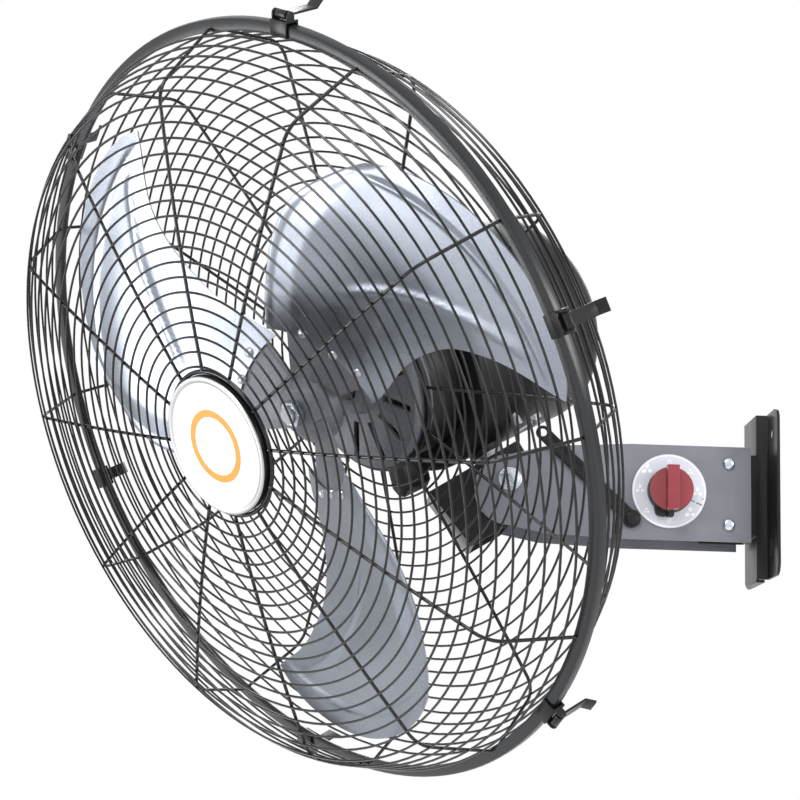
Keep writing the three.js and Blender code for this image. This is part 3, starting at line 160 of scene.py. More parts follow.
def endFinish(made, graph, tone, roughness, normal, metallic=0.0, coat=0.0, shine=0.5):
    shader = graph.node("ShaderNodeBsdfPrincipled", None,
                        {"Roughness": roughness, "Metallic": metallic, "Coat Weight": coat,
                         "Coat Roughness": 0.1, "Specular IOR Level": shine, "Normal": normal})
    if isinstance(tone, Value):
        graph.tree.links.new(tone.socket, shader.inputs["Base Color"])
    else:
        shader.inputs["Base Color"].default_value = (*tone, 1)
    graph.node("ShaderNodeOutputMaterial", None, {"Surface": Value(graph, shader.outputs[0])})
    return made


# Baked paint: slight orange peel, soft colour drift and rubbed, shinier patches
def paintFinish(name, tone, roughness, peel=0.00006, coat=0.0, lift=1.25, shine=0.3, scratch=0.1):
    made, graph, where = startFinish(name)
    drift = noise(graph, where, 14, 4)
    fine = noise(graph, where, 900, 2)
    marks = noise(graph, where, 60, 6, 0.7, (1, 1, 9))
    rubbed = spread(graph, marks, 0.6, 0.78)
    shade = mixTone(graph, spread(graph, drift, 0.3, 0.7), tone, tuple(c * lift for c in tone))
    light = mixTone(graph, rubbed * scratch, shade, tuple(min(1, c * 1.8 + 0.03) for c in tone))
    rough = spread(graph, drift, 0.25, 0.75, roughness - 0.05, roughness + 0.06) - rubbed * 0.08
    normal = bumped(graph, fine, peel, 0.6)
    return endFinish(made, graph, light, rough, normal, 0.0, coat, shine)


# Turned, plated or rolled metal with fine lines along one direction
def metalFinish(name, tone, roughness, stretch=(1, 1, 1), lines=0.00003, stain=0.12, tint=None):
    made, graph, where = startFinish(name)
    streak = noise(graph, where, 420, 4, 0.6, stretch)
    cloud = noise(graph, where, 25, 5, 0.65)
    dull = tint or tuple(c * (1 - 2 * stain) for c in tone)
    shade = mixTone(graph, spread(graph, cloud, 0.4, 0.75), tone, dull)
    rough = spread(graph, streak, 0.3, 0.7, roughness - 0.06, roughness + 0.08) + spread(
        graph, cloud, 0.5, 0.8, 0, 0.1)
    return endFinish(made, graph, shade, rough, bumped(graph, streak, lines, 0.7), 1.0)


# Sand cast metal: grainy and dull
def castFinish(name, tone, roughness=0.55, grain=0.00035, metallic=0.7):
    made, graph, where = startFinish(name)
    sand = noise(graph, where, 480, 5, 0.7)
    cloud = noise(graph, where, 22, 4)
    shade = mixTone(graph, spread(graph, sand, 0.35, 0.65), tuple(c * 0.7 for c in tone), tone)
    rough = spread(graph, cloud, 0.3, 0.7, roughness - 0.08, roughness + 0.08)
    return endFinish(made, graph, shade, rough, bumped(graph, sand, grain, 0.8), metallic)


# Moulded plastic: faint grain and flow marks
def plasticFinish(name, tone, roughness, coat=0.0, grain=0.00004):
    made, graph, where = startFinish(name)
    fine = noise(graph, where, 1100, 2)
    flow = noise(graph, where, 35, 3, 0.5, (1, 1, 3))
    shade = mixTone(graph, spread(graph, flow, 0.3, 0.7), tuple(c * 0.93 for c in tone), tone)
    rough = spread(graph, flow, 0.3, 0.7, roughness - 0.04, roughness + 0.05)
    return endFinish(made, graph, shade, rough, bumped(graph, fine, grain, 0.5), 0.0, coat, 0.4)


blackPaint = paintFinish("blackPaint", (0.008, 0.008, 0.009), 0.3)
coverPaint = paintFinish("coverPaint", (0.006, 0.006, 0.007), 0.4, 0.00012)
armPaint = paintFinish("armPaint", (0.17, 0.174, 0.2), 0.42, 0.0001)
wirePaint = paintFinish("wirePaint", (0.005, 0.005, 0.006), 0.22, 0.00003, 0.0, 1.2, 0.45)
rimPaint = paintFinish("rimPaint", (0.008, 0.009, 0.011), 0.26, 0.00006, 0.0, 1.2, 0.5)
zinc = metalFinish("zinc", (0.66, 0.71, 0.78), 0.22, (1, 1, 1), 0.000004, 0.05)
steel = metalFinish("steel", (0.5, 0.51, 0.53), 0.3, (3, 3, 0.4))
bellCast = castFinish("bellCast", (0.2, 0.205, 0.23), 0.5, 0.0003, 0.5)
darkCast = castFinish("darkCast", (0.03, 0.031, 0.034), 0.45, 0.0003, 0.3)
copper = metalFinish("copper", (0.5, 0.2, 0.08), 0.4, (0.3, 3, 3), 0.0002)
laminate = metalFinish("laminate", (0.22, 0.23, 0.24), 0.5, (12, 0.3, 0.3), 0.0002)
redPlastic = plasticFinish("redPlastic", (0.27, 0.028, 0.04), 0.2, 0.6)
blackPlastic = plasticFinish("blackPlastic", (0.012, 0.012, 0.013), 0.45)
whitePlastic = plasticFinish("whitePlastic", (0.72, 0.72, 0.74), 0.45)
dialGround = plasticFinish("dialGround", (0.64, 0.65, 0.73), 0.4, 0.2)
printWhite = plasticFinish("printWhite", (0.95, 0.95, 0.96), 0.5)
printDark = plasticFinish("printDark", (0.06, 0.06, 0.1), 0.5)
redWire = plasticFinish("redWire", (0.22, 0.012, 0.018), 0.4, 0.2)
badgeMetal = metalFinish("badgeMetal", (0.45, 0.45, 0.46), 0.34, (0.2, 3, 3), 0.00001, 0.04)
amberPrint = plasticFinish("amberPrint", (0.6, 0.28, 0.03), 0.4)


# Rolled aluminium sheet: a sparkling fine speckle over long soft streaks
def bladeFinish():
    made, graph, where = startFinish("bladeMetal")
    speckle = noise(graph, where, 1500, 2, 0.6)
    streak = noise(graph, where, 60, 4, 0.6, (1, 0.25, 1))
    cloud = noise(graph, where, 9, 3)
    shade = mixTone(graph, spread(graph, speckle, 0.3, 0.7), (0.2, 0.22, 0.26), (0.38, 0.405, 0.46))
    rough = spread(graph, streak, 0.3, 0.7, 0.27, 0.36) + spread(graph, cloud, 0.3, 0.7, -0.02, 0.03)
    normal = bumped(graph, speckle, 0.00006, 0.8)
    return endFinish(made, graph, shade, rough, normal, 1.0)


bladeMetal = bladeFinish()
print("finishes made")


# ---- Mesh makers ----
mergeReach = 1e-6


def newPiece(name, verts, faces):
    mesh = bpy.data.meshes.new(name)
    mesh.from_pydata([Vector(v) * mm for v in verts], [], faces)
    mesh.validate()
    made = bpy.data.objects.new(name, mesh)
    bpy.context.scene.collection.objects.link(made)
    return made


def tidyMesh(mesh):
    bm = bmesh.new()
    bm.from_mesh(mesh)
    bmesh.ops.remove_doubles(bm, verts=bm.verts, dist=mergeReach)
    bmesh.ops.recalc_face_normals(bm, faces=bm.faces)
    bm.to_mesh(mesh)
    bm.free()


def smooth(mesh, angle=32):
    mesh.polygons.foreach_set("use_smooth", [True] * len(mesh.polygons))
    mesh.set_sharp_from_angle(angle=math.radians(angle))


def baked(made):
    graph = bpy.context.evaluated_depsgraph_get()
    mesh = bpy.data.meshes.new_from_object(made.evaluated_get(graph))
    made.modifiers.clear()
    made.data = mesh
    return made


def bevel(made, width, segments=2, angle=30):
    tool = made.modifiers.new("edge", "BEVEL")
    tool.width = width * mm
    tool.segments = segments
    tool.limit_method = "ANGLE"
    tool.angle_limit = math.radians(angle)
    tool.use_clamp_overlap = True
    return baked(made)


def settle(made, finish, body, replaces=(), place=still, angle=32):
    made.data.transform(place)
    if finish:
        made.data.materials.clear()
        made.data.materials.append(finish)
    smooth(made.data, angle)
    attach(made, body)
    if replaces:
        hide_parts(*replaces)
    return made


# A turned piece about the fan axis, from a closed or axis-to-axis list of (station, radius)
def turnedPiece(name, profile, sides=96):
    verts = []
    faces = []
    closed = profile[0][1] > 0
    for k in range(sides):
        turn = 2 * math.pi * k / sides
        verts += [(-s, r * math.sin(turn), r * math.cos(turn)) for s, r in profile]
    count = len(profile)
    for k in range(sides):
        a, b = k * count, (k + 1) % sides * count
        for i in range(count if closed else count - 1):
            j = (i + 1) % count
            faces.append((a + i, a + j, b + j, b + i))
    made = newPiece(name, verts, faces)
    tidyMesh(made.data)
    return made


# Round pieces along one axis of the arm: y runs along the piece, profile lists (y, radius)
def turnedOnArm(name, x, z, profile, sides=64):
    made = turnedPiece(name, [(y, r) for y, r in profile], sides)
    made.data.transform(Matrix.Translation((x * mm, 0, z * mm)) @ Matrix(
        ((0, 1, 0, 0), (-1, 0, 0, 0), (0, 0, 1, 0), (0, 0, 0, 1))))
    return made


def rounded(points, radius, steps=4):
    made = []
    for i, point in enumerate(points):
        here = Vector(point)
        back = (Vector(points[i - 1]) - here)
        on = (Vector(points[(i + 1) % len(points)]) - here)
        reach = min(radius, back.length * 0.45, on.length * 0.45)
        start = here + back.normalized() * reach
        end = here + on.normalized() * reach
        for k in range(steps + 1):
            t = k / steps
            made.append(tuple(start * (1 - t) ** 2 + here * 2 * t * (1 - t) + end * t * t))
    return made


# The model's own solid with its seams merged, flat faces joined and edges rounded
def dressed(node, finish, body, width, segments=2, angle=30):
    mesh = nodes[node].data.copy()
    made = bpy.data.objects.new(node + ".look", mesh)
    bpy.context.scene.collection.objects.link(made)
    bm = bmesh.new()
    bm.from_mesh(mesh)
    bmesh.ops.remove_doubles(bm, verts=bm.verts, dist=mergeReach)
    bmesh.ops.dissolve_limit(bm, angle_limit=math.radians(0.6), verts=bm.verts, edges=bm.edges)
    bm.to_mesh(mesh)
    bm.free()
    if width:
        bevel(made, width, segments, angle)
    return settle(made, finish, body, (node,))


def joined(name, pieces):
    bm = bmesh.new()
    for piece in pieces:
        bm.from_mesh(piece.data)
    mesh = bpy.data.meshes.new(name)
    bm.to_mesh(mesh)
    bm.free()
    for piece in pieces:
        bpy.data.objects.remove(piece)
    made = bpy.data.objects.new(name, mesh)
    bpy.context.scene.collection.objects.link(made)
    return made


# An outline in (x, z) pushed along y
def pressed(name, outline, y0, y1):
    count = len(outline)
    verts = [(x, y0, z) for x, z in outline] + [(x, y1, z) for x, z in outline]
    faces = [tuple(range(count)), tuple(range(2 * count - 1, count - 1, -1))]
    faces += [(i, (i + 1) % count, count + (i + 1) % count, count + i) for i in range(count)]
    made = newPiece(name, verts, faces)
    tidyMesh(made.data)
    return made


# ---- Guard ----
guard = {"rimStation": 176.3, "rimRadius": 360, "flange": 11.7, "rimWall": 1.6, "skirt": 9, "depth": 88,
         "frontFirst": 68.2, "frontShoulder": 296, "frontSlant": 26, "frontBend": 29.5,
         "frontCrown": 20, "frontRing": 72.8, "rearFirst": 87.5, "rearShoulder": 308, "rearSlant": 14,
         "rearBend": 24, "rearCrown": 12.6, "rearRing": 102.5, "spokes": 12, "spokeWire": 1.6,
         "ringWire": 1.15, "ringPitch": 13.35, "ringSunk": 0.3, "hoopStation": 170.4,
         "hoopRadius": 354.2, "hoopWire": 4, "badgeHoopRadius": 67, "badgeHoopWire": 2.1,
         "collar": 82.4, "collarEdge": 87, "turns": 160}


def guardLine(side, endRadius, endDepth, steps=14):
    first, shoulder, slant, bend, crown = (
        guard[side + part] for part in ("First", "Shoulder", "Slant", "Bend", "Crown"))

    def flat(radius):
        return guard["depth"] + 2 - crown * (radius / shoulder) ** 2

    made = []
    for k in range(steps + 1):
        radius = first + (shoulder - 1 - first) * k / steps
        made.append((flat(radius), radius))
    centre = flat(shoulder) - bend
    lean = math.radians(slant)
    for k in range(1, 9):
        turn = (math.pi / 2 - lean) * k / 8
        made.append((centre + bend * math.cos(turn), shoulder + bend * math.sin(turn)))
    made.append((endDepth, endRadius))
    return made


# A tree that turns one bent spoke into a wire basket: the spoke is repeated round the axis, and the rings
# are set at equal steps measured along it
def basketTree():
    tree = bpy.data.node_groups.new("wireBasket", "GeometryNodeTree")
    face = tree.interface
    face.new_socket("Geometry", in_out="INPUT", socket_type="NodeSocketGeometry")
    for label, kind, value in (("spokes", "NodeSocketInt", 12), ("rings", "NodeSocketInt", 20),
                               ("first ring", "NodeSocketFloat", 0.0),
                               ("ring pitch", "NodeSocketFloat", 0.0133),
                               ("spoke wire", "NodeSocketFloat", 0.0016),
                               ("ring wire", "NodeSocketFloat", 0.0011),
                               ("inward", "NodeSocketFloat", 0.0),
                               ("finish", "NodeSocketMaterial", None)):
        socket = face.new_socket(label, in_out="INPUT", socket_type=kind)
        if value is not None:
            socket.default_value = value
    face.new_socket("Geometry", in_out="OUTPUT", socket_type="NodeSocketGeometry")
    graph = Graph(tree)
    given = graph.node("NodeGroupInput")
    take = {socket.name: Value(graph, socket) for socket in given.outputs if socket.name}
    spoke = graph.out("GeometryNodeMeshToCurve", None, {"Mesh": take["Geometry"]})
    thick = graph.out("GeometryNodeCurvePrimitiveCircle", None,
                      {"Resolution": 8, "Radius": take["spoke wire"]})
    thin = graph.out("GeometryNodeCurvePrimitiveCircle", None,
                     {"Resolution": 6, "Radius": take["ring wire"]})
    # spokes
    row = graph.out("GeometryNodeMeshLine", None, {"Count": take["spokes"], "Offset": (0, 0, 0)})
    step = graph.out("GeometryNodeInputIndex")
    angle = step * (2 * math.pi) / take["spokes"]
    turn = graph.out("ShaderNodeCombineXYZ", None, {"X": angle})
    bar = graph.out("GeometryNodeCurveToMesh", None,
                    {"Curve": spoke, "Profile Curve": thick, "Fill Caps": True})
    fan = graph.out("GeometryNodeInstanceOnPoints", None,
                    {"Points": row, "Instance": bar, "Rotation": turn})
    # rings, measured off along the spoke
    marks = graph.out("GeometryNodeMeshLine", None, {"Count": take["rings"], "Offset": (0, 0, 0)})
    along = take["first ring"] + step * take["ring pitch"]
    sample = graph.node("GeometryNodeSampleCurve", {"mode": "LENGTH", "use_all_curves": True},
                        {"Curves": spoke, "Length": along})
    place = graph.node("ShaderNodeSeparateXYZ", None,
                       {"Vector": Value(graph, sample.outputs["Position"])})
    deep = Value(graph, place.outputs["X"]) + take["inward"]
    wide = Value(graph, place.outputs["Z"])
    centre = graph.out("ShaderNodeCombineXYZ", None, {"X": deep})
    # a ring's size is read from the spoke by its number, so moving its point does not change it
    circle = graph.out("GeometryNodeCurvePrimitiveCircle", None, {"Resolution": 120, "Radius": 1.0})
    upright = graph.out("GeometryNodeTransform", None,
                        {"Geometry": circle, "Rotation": (0, math.pi / 2, 0)})
    moved = graph.out("GeometryNodeSetPosition", None, {"Geometry": marks, "Position": centre})
    size = graph.out("ShaderNodeCombineXYZ", None, {"X": wide, "Y": wide, "Z": wide})
    hoops = graph.out("GeometryNodeInstanceOnPoints", None,
                      {"Points": moved, "Instance": upright, "Scale": size})
    hoops = graph.out("GeometryNodeRealizeInstances", None, {"Geometry": hoops})
    hoops = graph.out("GeometryNodeCurveToMesh", None, {"Curve": hoops, "Profile Curve": thin})
    both = graph.node("GeometryNodeJoinGeometry")
    tree.links.new(hoops.socket, both.inputs[0])
    tree.links.new(fan.socket, both.inputs[0])
    shaded = graph.out("GeometryNodeSetShadeSmooth", None, {"Geometry": Value(graph, both.outputs[0])})
    solid = graph.out("GeometryNodeRealizeInstances", None, {"Geometry": shaded})
    painted = graph.out("GeometryNodeSetMaterial", None,
                        {"Geometry": solid, "Material": take["finish"]})
    last = graph.node("NodeGroupOutput")
    tree.links.new(painted.socket, last.inputs[0])
    return tree


def runTree(made, tree, **sizes):
    tool = made.modifiers.new("tree", "NODES")
    tool.node_group = tree
    names = {item.name: item.identifier for item in tree.interface.items_tree
             if getattr(item, "in_out", "") == "INPUT"}
    for label, value in sizes.items():
        tool[names[label.replace("_", " ")]] = value
    return baked(made)


basket = basketTree()


def wireHalf(name, line, forward, firstRing):
    verts = [(-(guard["rimStation"] + forward * d), 0, r) for d, r in line]
    length = sum(math.dist(a, b) for a, b in zip(line, line[1:]))
    first = firstRing - line[0][1]
    rings = int((length - first - 5) / guard["ringPitch"]) + 1
    mesh = bpy.data.meshes.new(name)
    mesh.from_pydata([Vector(v) * mm for v in verts], [(i, i + 1) for i in range(len(verts) - 1)], [])
    made = bpy.data.objects.new(name, mesh)
    bpy.context.scene.collection.objects.link(made)
    inward = -forward * (guard["spokeWire"] + guard["ringWire"] - guard["ringSunk"]) * mm
    return runTree(made, basket, spokes=guard["spokes"], rings=rings, first_ring=first * mm,
                   ring_pitch=guard["ringPitch"] * mm, spoke_wire=guard["spokeWire"] * mm,
                   ring_wire=guard["ringWire"] * mm, inward=inward, finish=wirePaint)


def wireHoop(name, station, radius, wire):
    turns = [2 * math.pi * k / 12 for k in range(12)]
    return turnedPiece(name, [(station + wire * math.cos(t), radius + wire * math.sin(t))
                              for t in turns], guard["turns"])


def frontGuard():
    g = guard
    line = guardLine("front", g["rimRadius"] - g["flange"] + 3, 1.2)
    wires = wireHalf("frontWires", line, 1, g["frontRing"])
    outer, inner, front = g["rimRadius"], g["rimRadius"] - g["flange"], g["rimStation"]
    back, wall = front - g["skirt"], g["rimWall"]
    rim = turnedPiece("frontRim", [
        (front - 0.5, inner), (front, inner + 0.5), (front, outer - 3), (front - 0.9, outer - 0.9),
        (front - 3, outer), (back, outer), (back, outer - wall), (front - 3, outer - wall),
        (front - wall, outer - 3), (front - wall, inner)], g["turns"])
    settle(wires, None, "head", ("front_guard",), headPlace, 60)
    settle(rim, rimPaint, "head", (), headPlace, 40)
    hoop = wireHoop("badgeHoop", front + g["depth"] - 1.5, g["badgeHoopRadius"], g["badgeHoopWire"])
    settle(hoop, wirePaint, "head", (), headPlace, 60)


def rearGuard():
    g = guard
    line = guardLine("rear", g["hoopRadius"] - 3, g["rimStation"] - g["hoopStation"])
    wires = wireHalf("rearWires", line, -1, g["rearRing"])
    settle(wires, None, "head", ("rear_guard",), headPlace, 60)
    hoop = wireHoop("rearHoop", g["hoopStation"], g["hoopRadius"], g["hoopWire"])
    settle(hoop, rimPaint, "head", (), headPlace, 60)
    middle = g["rimStation"] - g["depth"] - 1
    inner, outer = g["collar"], g["collarEdge"]
    collar = turnedPiece("rearCollar", [
        (middle - 2.5, inner), (middle + 2.5, inner), (middle + 2.5, outer - 0.5), (middle + 2, outer),
        (middle - 2, outer), (middle - 2.5, outer - 0.5)])
    settle(collar, wirePaint, "head", (), headPlace)


frontGuard()
rearGuard()
print("guards made")


# ---- Badge: a shallow pressed cup with a grey edge, a white face and a plain ring motif ----
badge = {"radius": 64.6, "station": 270.8, "rim": 5, "depth": 8, "motif": 27, "motifWidth": 7}


def makeBadge():
    b = badge
    s, r, m = b["station"], b["radius"], b["motif"]
    lip = r - b["rim"]
    edge = turnedPiece("badge.look", [
        (s - 1.1, lip - 1), (s - 0.7, lip), (s - 0.1, lip + 1.5), (s, r - 2.6), (s - 0.4, r - 1),
        (s - 1.6, r - 0.2), (s - 2.4, r - 0.2), (s - 2.4, lip - 1)], 128)
    settle(edge, badgeMetal, "head", ("badge",), headPlace, 25)
    side = turnedPiece("badgeSide", [
        (s - 1.5, r - 0.1), (s - 1.7, r), (s - b["depth"], r), (s - b["depth"], r - 1.2),
        (s - 2.6, r - 1.2), (s - 2.6, 0), (s - 1.6, 0), (s - 1.6, r - 1.2)], 128)
    settle(side, blackPaint, "head", (), headPlace, 25)
    face = turnedPiece("badgeFace", [(s - 1.3, 0), (s - 1.2, lip - 1.5), (s - 1.3, lip), (s - 1.8, lip),
                                     (s - 1.8, 0)], 128)
    settle(face, whitePlastic, "head", (), headPlace, 25)
    ring = turnedPiece("badgeMotif", [
        (s - 1.4, m), (s - 1.0, m + 0.4), (s - 1.0, m + b["motifWidth"] - 0.4),
        (s - 1.4, m + b["motifWidth"])], 96)
    settle(ring, amberPrint, "head", (), headPlace, 25)


makeBadge()


# ---- Blades ----
blade = {"trailing": ((75, 122.6, 145), (130, 136.5, 148), (190, 138, 151), (250, 133, 157),
                      (300, 125.6, 152), (326, 122.5, 149)),
         "leading": ((85, 206, 190), (128, 199, 199), (175, 194, 201), (222, 187, 200),
                     (263, 178, 189), (290, 172, 182)),
         "bulge": 24, "wall": 1.6, "rows": 72, "columns": 48, "count": 3,
         "lip": 2.2, "rib": 2.6, "ribWidth": 0.016, "sweptWidth": 0.022, "fold": 40,
         "foldLine": 0.81, "foldLean": 0.42, "outerRib": 0.84, "tailCut": 0.1, "noseCut": 0.05,
         "rivets": ((0.045, 0.25), (0.035, 0.72), (0.015, 0.47)),
         "rivet": ((4.1, 0), (3.8, 2), (2.6, 4), (1.4, 4.8), (-1.5, 4.8), (-1.5, 0))}


def edgeAt(edge, share):
    place = share * (len(edge) - 1)
    i = min(int(place), len(edge) - 2)
    four = (edge[max(i - 1, 0)], edge[i], edge[i + 1], edge[min(i + 2, len(edge) - 1)])
    t = place - i
    made = []
    for k in range(3):
        p0, p1, p2, p3 = (p[k] for p in four)
        m1, m2 = (p2 - p0) / 2, (p3 - p1) / 2
        a, b = 2 * p1 - 2 * p2 + m1 + m2, -3 * p1 + 3 * p2 - 2 * m1 - m2
        made.append(((a * t + b) * t + m1) * t + p1)
    return made


def bladePoint(span, chord):
    tail, nose = edgeAt(blade["trailing"], span), edgeAt(blade["leading"], span)
    radius, angle, station = (a + (b - a) * chord for a, b in zip(tail, nose))
    radius += blade["bulge"] * span ** 4 * math.sin(math.pi * chord)
    angle = math.radians(angle)
    return Vector((-station, radius * math.sin(angle), radius * math.cos(angle)))


def ridge(distance, width):
    return math.exp(-(distance / width) ** 2)


def bladeSheet():
    rows, columns = blade["rows"], blade["columns"]
    verts = []
    for i in range(rows + 1):
        for j in range(columns + 1):
            v = j / columns
            u = i / rows * (1 - blade["tailCut"] * max(0, 1 - v / 0.22) ** 2
                            - blade["noseCut"] * max(0, (v - 0.85) / 0.15) ** 2)
            point = bladePoint(u, v)
            across = bladePoint(u, min(1, v + 0.01)) - bladePoint(u, max(0, v - 0.01))
            outward = bladePoint(min(1, u + 0.01), v) - bladePoint(max(0, u - 0.01), v)
            normal = across.cross(outward).normalized()
            if normal.x > 0:
                normal = -normal
            swept = 0.1 + 0.4 * max(0, (0.85 - u) / 0.55) ** 2
            fold = blade["foldLine"] + blade["foldLean"] * max(0, u - 0.55)
            ends = min(1, v * 12, max(0, 0.93 - v) * 12)
            height = blade["rib"] * ridge(u - blade["outerRib"], blade["ribWidth"]) * ends
            ends = min(1, max(0, u - 0.28) * 14, max(0, 0.8 - u) * 20)
            height += blade["rib"] * ridge(v - swept, blade["sweptWidth"]) * ends
            height += blade["lip"] * ridge(v - 0.985, 0.02) * min(1, u * 8)
            height -= blade["fold"] * max(0, v - fold) * min(1, u * 5)
            verts.append(point + normal * height)
    faces = []
    for i in range(rows):
        for j in range(columns):
            a = i * (columns + 1) + j
            faces.append((a, a + 1, a + columns + 2, a + columns + 1))
    made = newPiece("bladeSheet", verts, faces)
    tidyMesh(made.data)
    wall = made.modifiers.new("wall", "SOLIDIFY")
    wall.thickness = blade["wall"] * mm
    wall.offset = 0
    return baked(made)


def rivetHead(span, chord):
    point = bladePoint(span, chord)
    across = bladePoint(span, chord + 0.01) - bladePoint(span, chord - 0.01)
    outward = bladePoint(span + 0.01, chord) - bladePoint(span, chord)
    normal = across.cross(outward).normalized()
    if normal.x > 0:
        normal = -normal
    made = turnedPiece("rivetHead", blade["rivet"], 24)
    turn = normal.to_track_quat("-X", "Z").to_matrix().to_4x4()
    made.data.transform(Matrix.Translation(point * mm) @ turn)
    return made


def makeBlades():
    sheet = bladeSheet()
    heads = joined("rivets", [rivetHead(*place) for place in blade["rivets"]])
    for k in range(blade["count"]):
        made = sheet.copy()
        made.data = sheet.data.copy()
        made.name = f"blade_{k + 1}.look"
        bpy.context.scene.collection.objects.link(made)
        turn = Matrix.Rotation(-math.radians(120 * k), 4, "X")
        settle(made, bladeMetal, "rotor", (f"blade_{k + 1}",), headPlace @ turn, 50)
        rivets = heads.copy()
        rivets.data = heads.data.copy()
        bpy.context.scene.collection.objects.link(rivets)
        settle(rivets, steel, "rotor", (), headPlace @ turn, 50)
    bpy.data.objects.remove(sheet)
    bpy.data.objects.remove(heads)


makeBlades()
print("blades made")


# ---- Motor head ----
cover = {"radius": 106, "wall": 2, "front": 36, "length": 180, "round": 26, "hole": 82.6}


def makeCover():
    c = cover
    back = c["front"] - c["length"]
    outside, inside = [], []
    for k in range(11):
        turn = math.pi / 2 * k / 10
        outside.append((back + c["round"] * (1 - math.sin(turn)),
                        c["radius"] - c["round"] * (1 - math.cos(turn))))
        thin = c["round"] - c["wall"]
        inside.insert(0, (back + c["round"] - thin * math.sin(turn),
                          c["radius"] - c["round"] + thin * math.cos(turn)))
    profile = [(back + c["wall"], 0), *inside, (c["front"] - c["wall"], c["radius"] - c["wall"]),
               (c["front"] - c["wall"], c["hole"]), (c["front"], c["hole"]),
               (c["front"], c["radius"] - 3), (c["front"] - 0.9, c["radius"] - 0.9),
               (c["front"] - 3, c["radius"]), *outside, (back, 0)]
    made = turnedPiece("motor_cover.look", profile, 128)
    return settle(made, coverPaint, "head", ("motor_cover",), headPlace, 30)


makeCover()
dressed("front_bell", bellCast, "head", 0.8)
dressed("motor_shell", coverPaint, "head", 0.5)
dressed("cable_box", blackPlastic, "head", 1.5, 3)
dressed("gearbox_case", darkCast, "head", 1.2)
dressed("hub_spider", bellCast, "rotor", 1.0, 2, 25)
dressed("hub_nut", zinc, "rotor", 0.8)
print("head made")

# ---- Neck, arm and bracket ----
dressed("neck_yoke", blackPaint, "neck", 1.4, 3)
dressed("wall_bracket", blackPaint, "bracket", 0.9, 3)
dressed("arm_channel", armPaint, "bracket", 0.8, 3)
dressed("link_strap", blackPaint, "link", 0.7)
dressed("link_stud", blackPaint, "bracket", 0.6)
for name in ("tilt_bolt", "tilt_washer", "tilt_spring_washer", "tilt_nut"):
    dressed(name, zinc, "bracket", 0.5)
for side in ("near", "far"):
    for height in ("upper", "lower"):
        dressed(f"arm_screw_{side}_{height}", zinc, "bracket", 0.4)
for k in range(1, 7):
    dressed(f"clip_base_{k}", blackPaint, "head", 0.5)
    dressed(f"clip_lever_{k}", blackPaint, f"lever_{k}", 0.5)

# ---- Dial and knob ----
dressed("selector_knob", blackPlastic, "knob", 0.8)
dressed("knob_cap", redPlastic, "knob", 1.2, 3)
dressed("dial_plate", dialGround, "bracket", 0.3)
dressed("switch_nut", zinc, "bracket", 0.3)

# Dial prints: thin raised ink on the plate's face
dial = {"x": -96.8, "z": 1.0, "ink": 0.12, "sunk": 0.3, "pen": 0.4, "border": (33.0, 34.0),
        "zero": (1.7, 2.7, 0.7), "zeros": ((0, 27), (0, -27)),
        "fans": ((-20.9, 20, 5.6), (19.8, -20, 5.6), (-27.4, 1.1, 4.4), (26.6, -0.4, 4.7),
                 (19.5, 18.8, 3.3), (-21.3, -19.2, 3.0)),
        "lines": (((19.1, -7.6), (24, -9.6)), ((25.5, -10.3), (31.2, -12.6)),
                  ((30.8, -6.3), (32.8, -6.8))),
        "nub": ((-15, -14), (-13.5, -23.5), (-4.5, -25.5), (-1, -18), (-7, -14)), "nubRaise": (7, 1.2)}


def inkRing(name, x, z, inner, outer, wide=1.0):
    top, under = plateFace - dial["ink"], plateFace + dial["sunk"]
    made = turnedOnArm(name, 0, 0, [(top, inner), (under, inner), (under, outer), (top, outer)], 48)
    made.data.transform(Matrix.Translation((x * mm, 0, z * mm)) @ Matrix.Diagonal((wide, 1, 1, 1)))
    tidyMesh(made.data)
    return made


def inkShape(name, outline):
    return pressed(name, outline, plateFace - dial["ink"], plateFace + dial["sunk"])


def fanMark(x, z, size):
    petals = []
    for k in range(3):
        lean = math.radians(90 + 120 * k)
        outline = []
        for i in range(14):
            turn = 2 * math.pi * i / 14
            a, b = size * (0.6 + 0.4 * math.cos(turn)), size * 0.32 * math.sin(turn)
            outline.append((x + a * math.cos(lean) - b * math.sin(lean),
                            z + a * math.sin(lean) + b * math.cos(lean)))
        petals.append(inkShape("petal", outline))
    return petals


def dialPrints():
    x, z = dial["x"], dial["z"]
    white = [inkRing("border", x, z, *dial["border"])]
    white += [inkRing("zero", x + a, z + b, *dial["zero"]) for a, b in dial["zeros"]]
    for a, b, size in dial["fans"]:
        white += fanMark(x + a, z + b, size)
    settle(joined("dialWhite", white), printWhite, "bracket")
    dark = []
    for (x0, z0), (x1, z1) in dial["lines"]:
        long = math.dist((x0, z0), (x1, z1))
        w, h = dial["pen"] * (z1 - z0) / long, dial["pen"] * (x1 - x0) / long
        dark.append(inkShape("line", [(x + a + side * w, z + b - side * h) for a, b, side in (
            (x0, z0, 1), (x1, z1, 1), (x1, z1, -1), (x0, z0, -1))]))
    settle(joined("dialDark", dark), printDark, "bracket")


def pointerNub():
    raised, clear = dial["nubRaise"]
    outline = rounded([(x + dial["x"], z + dial["z"], 0) for x, z in dial["nub"]], 2.5)
    made = pressed("pointerNub", [(x, z) for x, z, _ in outline], plateFace - raised, plateFace - clear)
    settle(bevel(made, 0.7), blackPlastic, "knob")


plate = nodes["dial_plate"]
plateFace = min((plate.matrix_world @ v.co).y for v in plate.data.vertices) / mm
dialPrints()
pointerNub()
print("dial made")

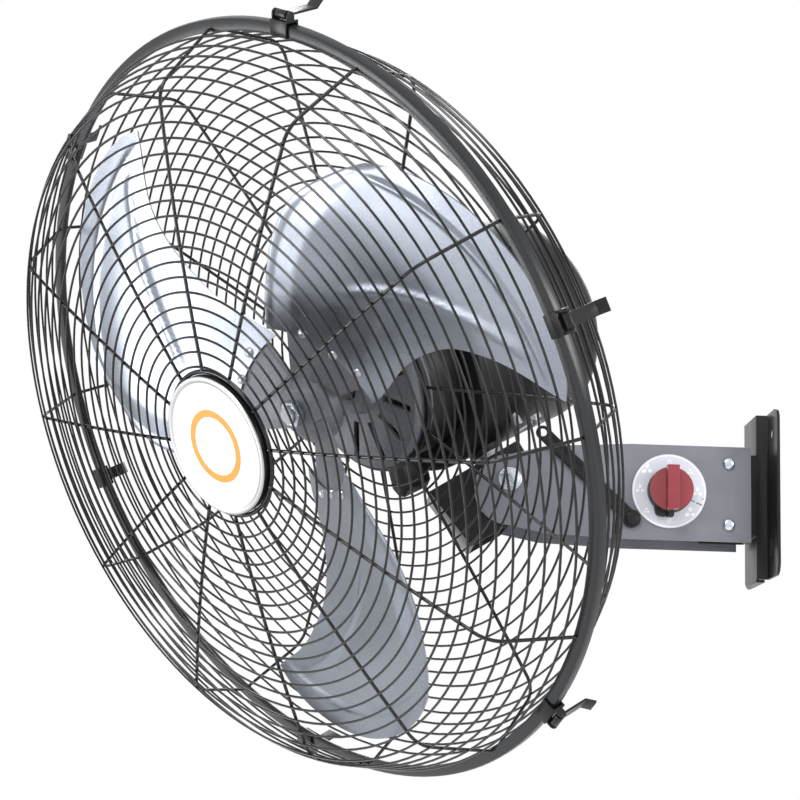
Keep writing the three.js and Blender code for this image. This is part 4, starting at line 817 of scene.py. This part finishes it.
# What stays as the model has it takes its finish
kept = {"switch_body": blackPlastic, "capacitor": whitePlastic, "capacitor_clip": steel,
        "terminal_block": whitePlastic, "switch_lead": redWire, "capacitor_lead": whitePlastic,
        "swivel_post": steel, "post_nut": zinc, "thrust_washer": steel, "oscillating_crank": steel,
        "front_bearing": steel, "stator_core": laminate, "winding_front": copper,
        "winding_rear": copper, "rear_bell": darkCast, "rear_bearing": steel,
        "rotor_shaft": steel, "rotor_core": laminate}
for name, finish in kept.items():
    nodes[name].data.materials.clear()
    nodes[name].data.materials.append(finish)


# ---- Floor, light and backdrop ----
studio = {"floor": -0.62, "floorSize": 14, "world": 0.75, "aim": (-0.3, -0.1, 0.05)}
lamps = {"key": ((-1.4, -2.2, 1.9), 1.2, 60), "side": ((1.9, -1.7, 0.5), 1.0, 26),
         "back": ((0.2, 1.9, 1.7), 1.6, 40), "front": ((-2.1, -0.15, -0.3), 0.8, 17)}


def makeStudio():
    aim = Vector(studio["aim"])
    for name, (place, size, power) in lamps.items():
        data = bpy.data.lights.new(name, "AREA")
        data.size = size
        data.energy = power
        made = bpy.data.objects.new(name, data)
        made.matrix_world = Matrix.Translation(place) @ (
            (aim - Vector(place)).to_track_quat("-Z", "Y").to_matrix().to_4x4())
        bpy.context.scene.collection.objects.link(made)
    world = bpy.data.worlds.new("studio")
    bpy.context.scene.world = world
    world.use_nodes = True
    world.node_tree.nodes.clear()
    graph = Graph(world.node_tree)
    ray = graph.node("ShaderNodeLightPath")
    straight = Value(graph, ray.outputs["Is Camera Ray"]) + Value(graph, ray.outputs["Is Glossy Ray"])
    straight = straight + Value(graph, ray.outputs["Is Transmission Ray"])
    power = straight * (1 - studio["world"]) + studio["world"]
    back = graph.out("ShaderNodeBackground", None, {"Color": (1, 1, 1, 1), "Strength": power})
    graph.node("ShaderNodeOutputWorld", None, {"Surface": back})
    bpy.ops.mesh.primitive_plane_add(size=studio["floorSize"], location=(0, 0, studio["floor"]))
    floor = bpy.context.object
    floor.name = "floor"
    floor.data.materials.append(plasticFinish("floorPale", (0.84, 0.84, 0.84), 0.75, 0.0, 0.0001))


makeStudio()
bpy.context.scene.view_settings.view_transform = "Standard"
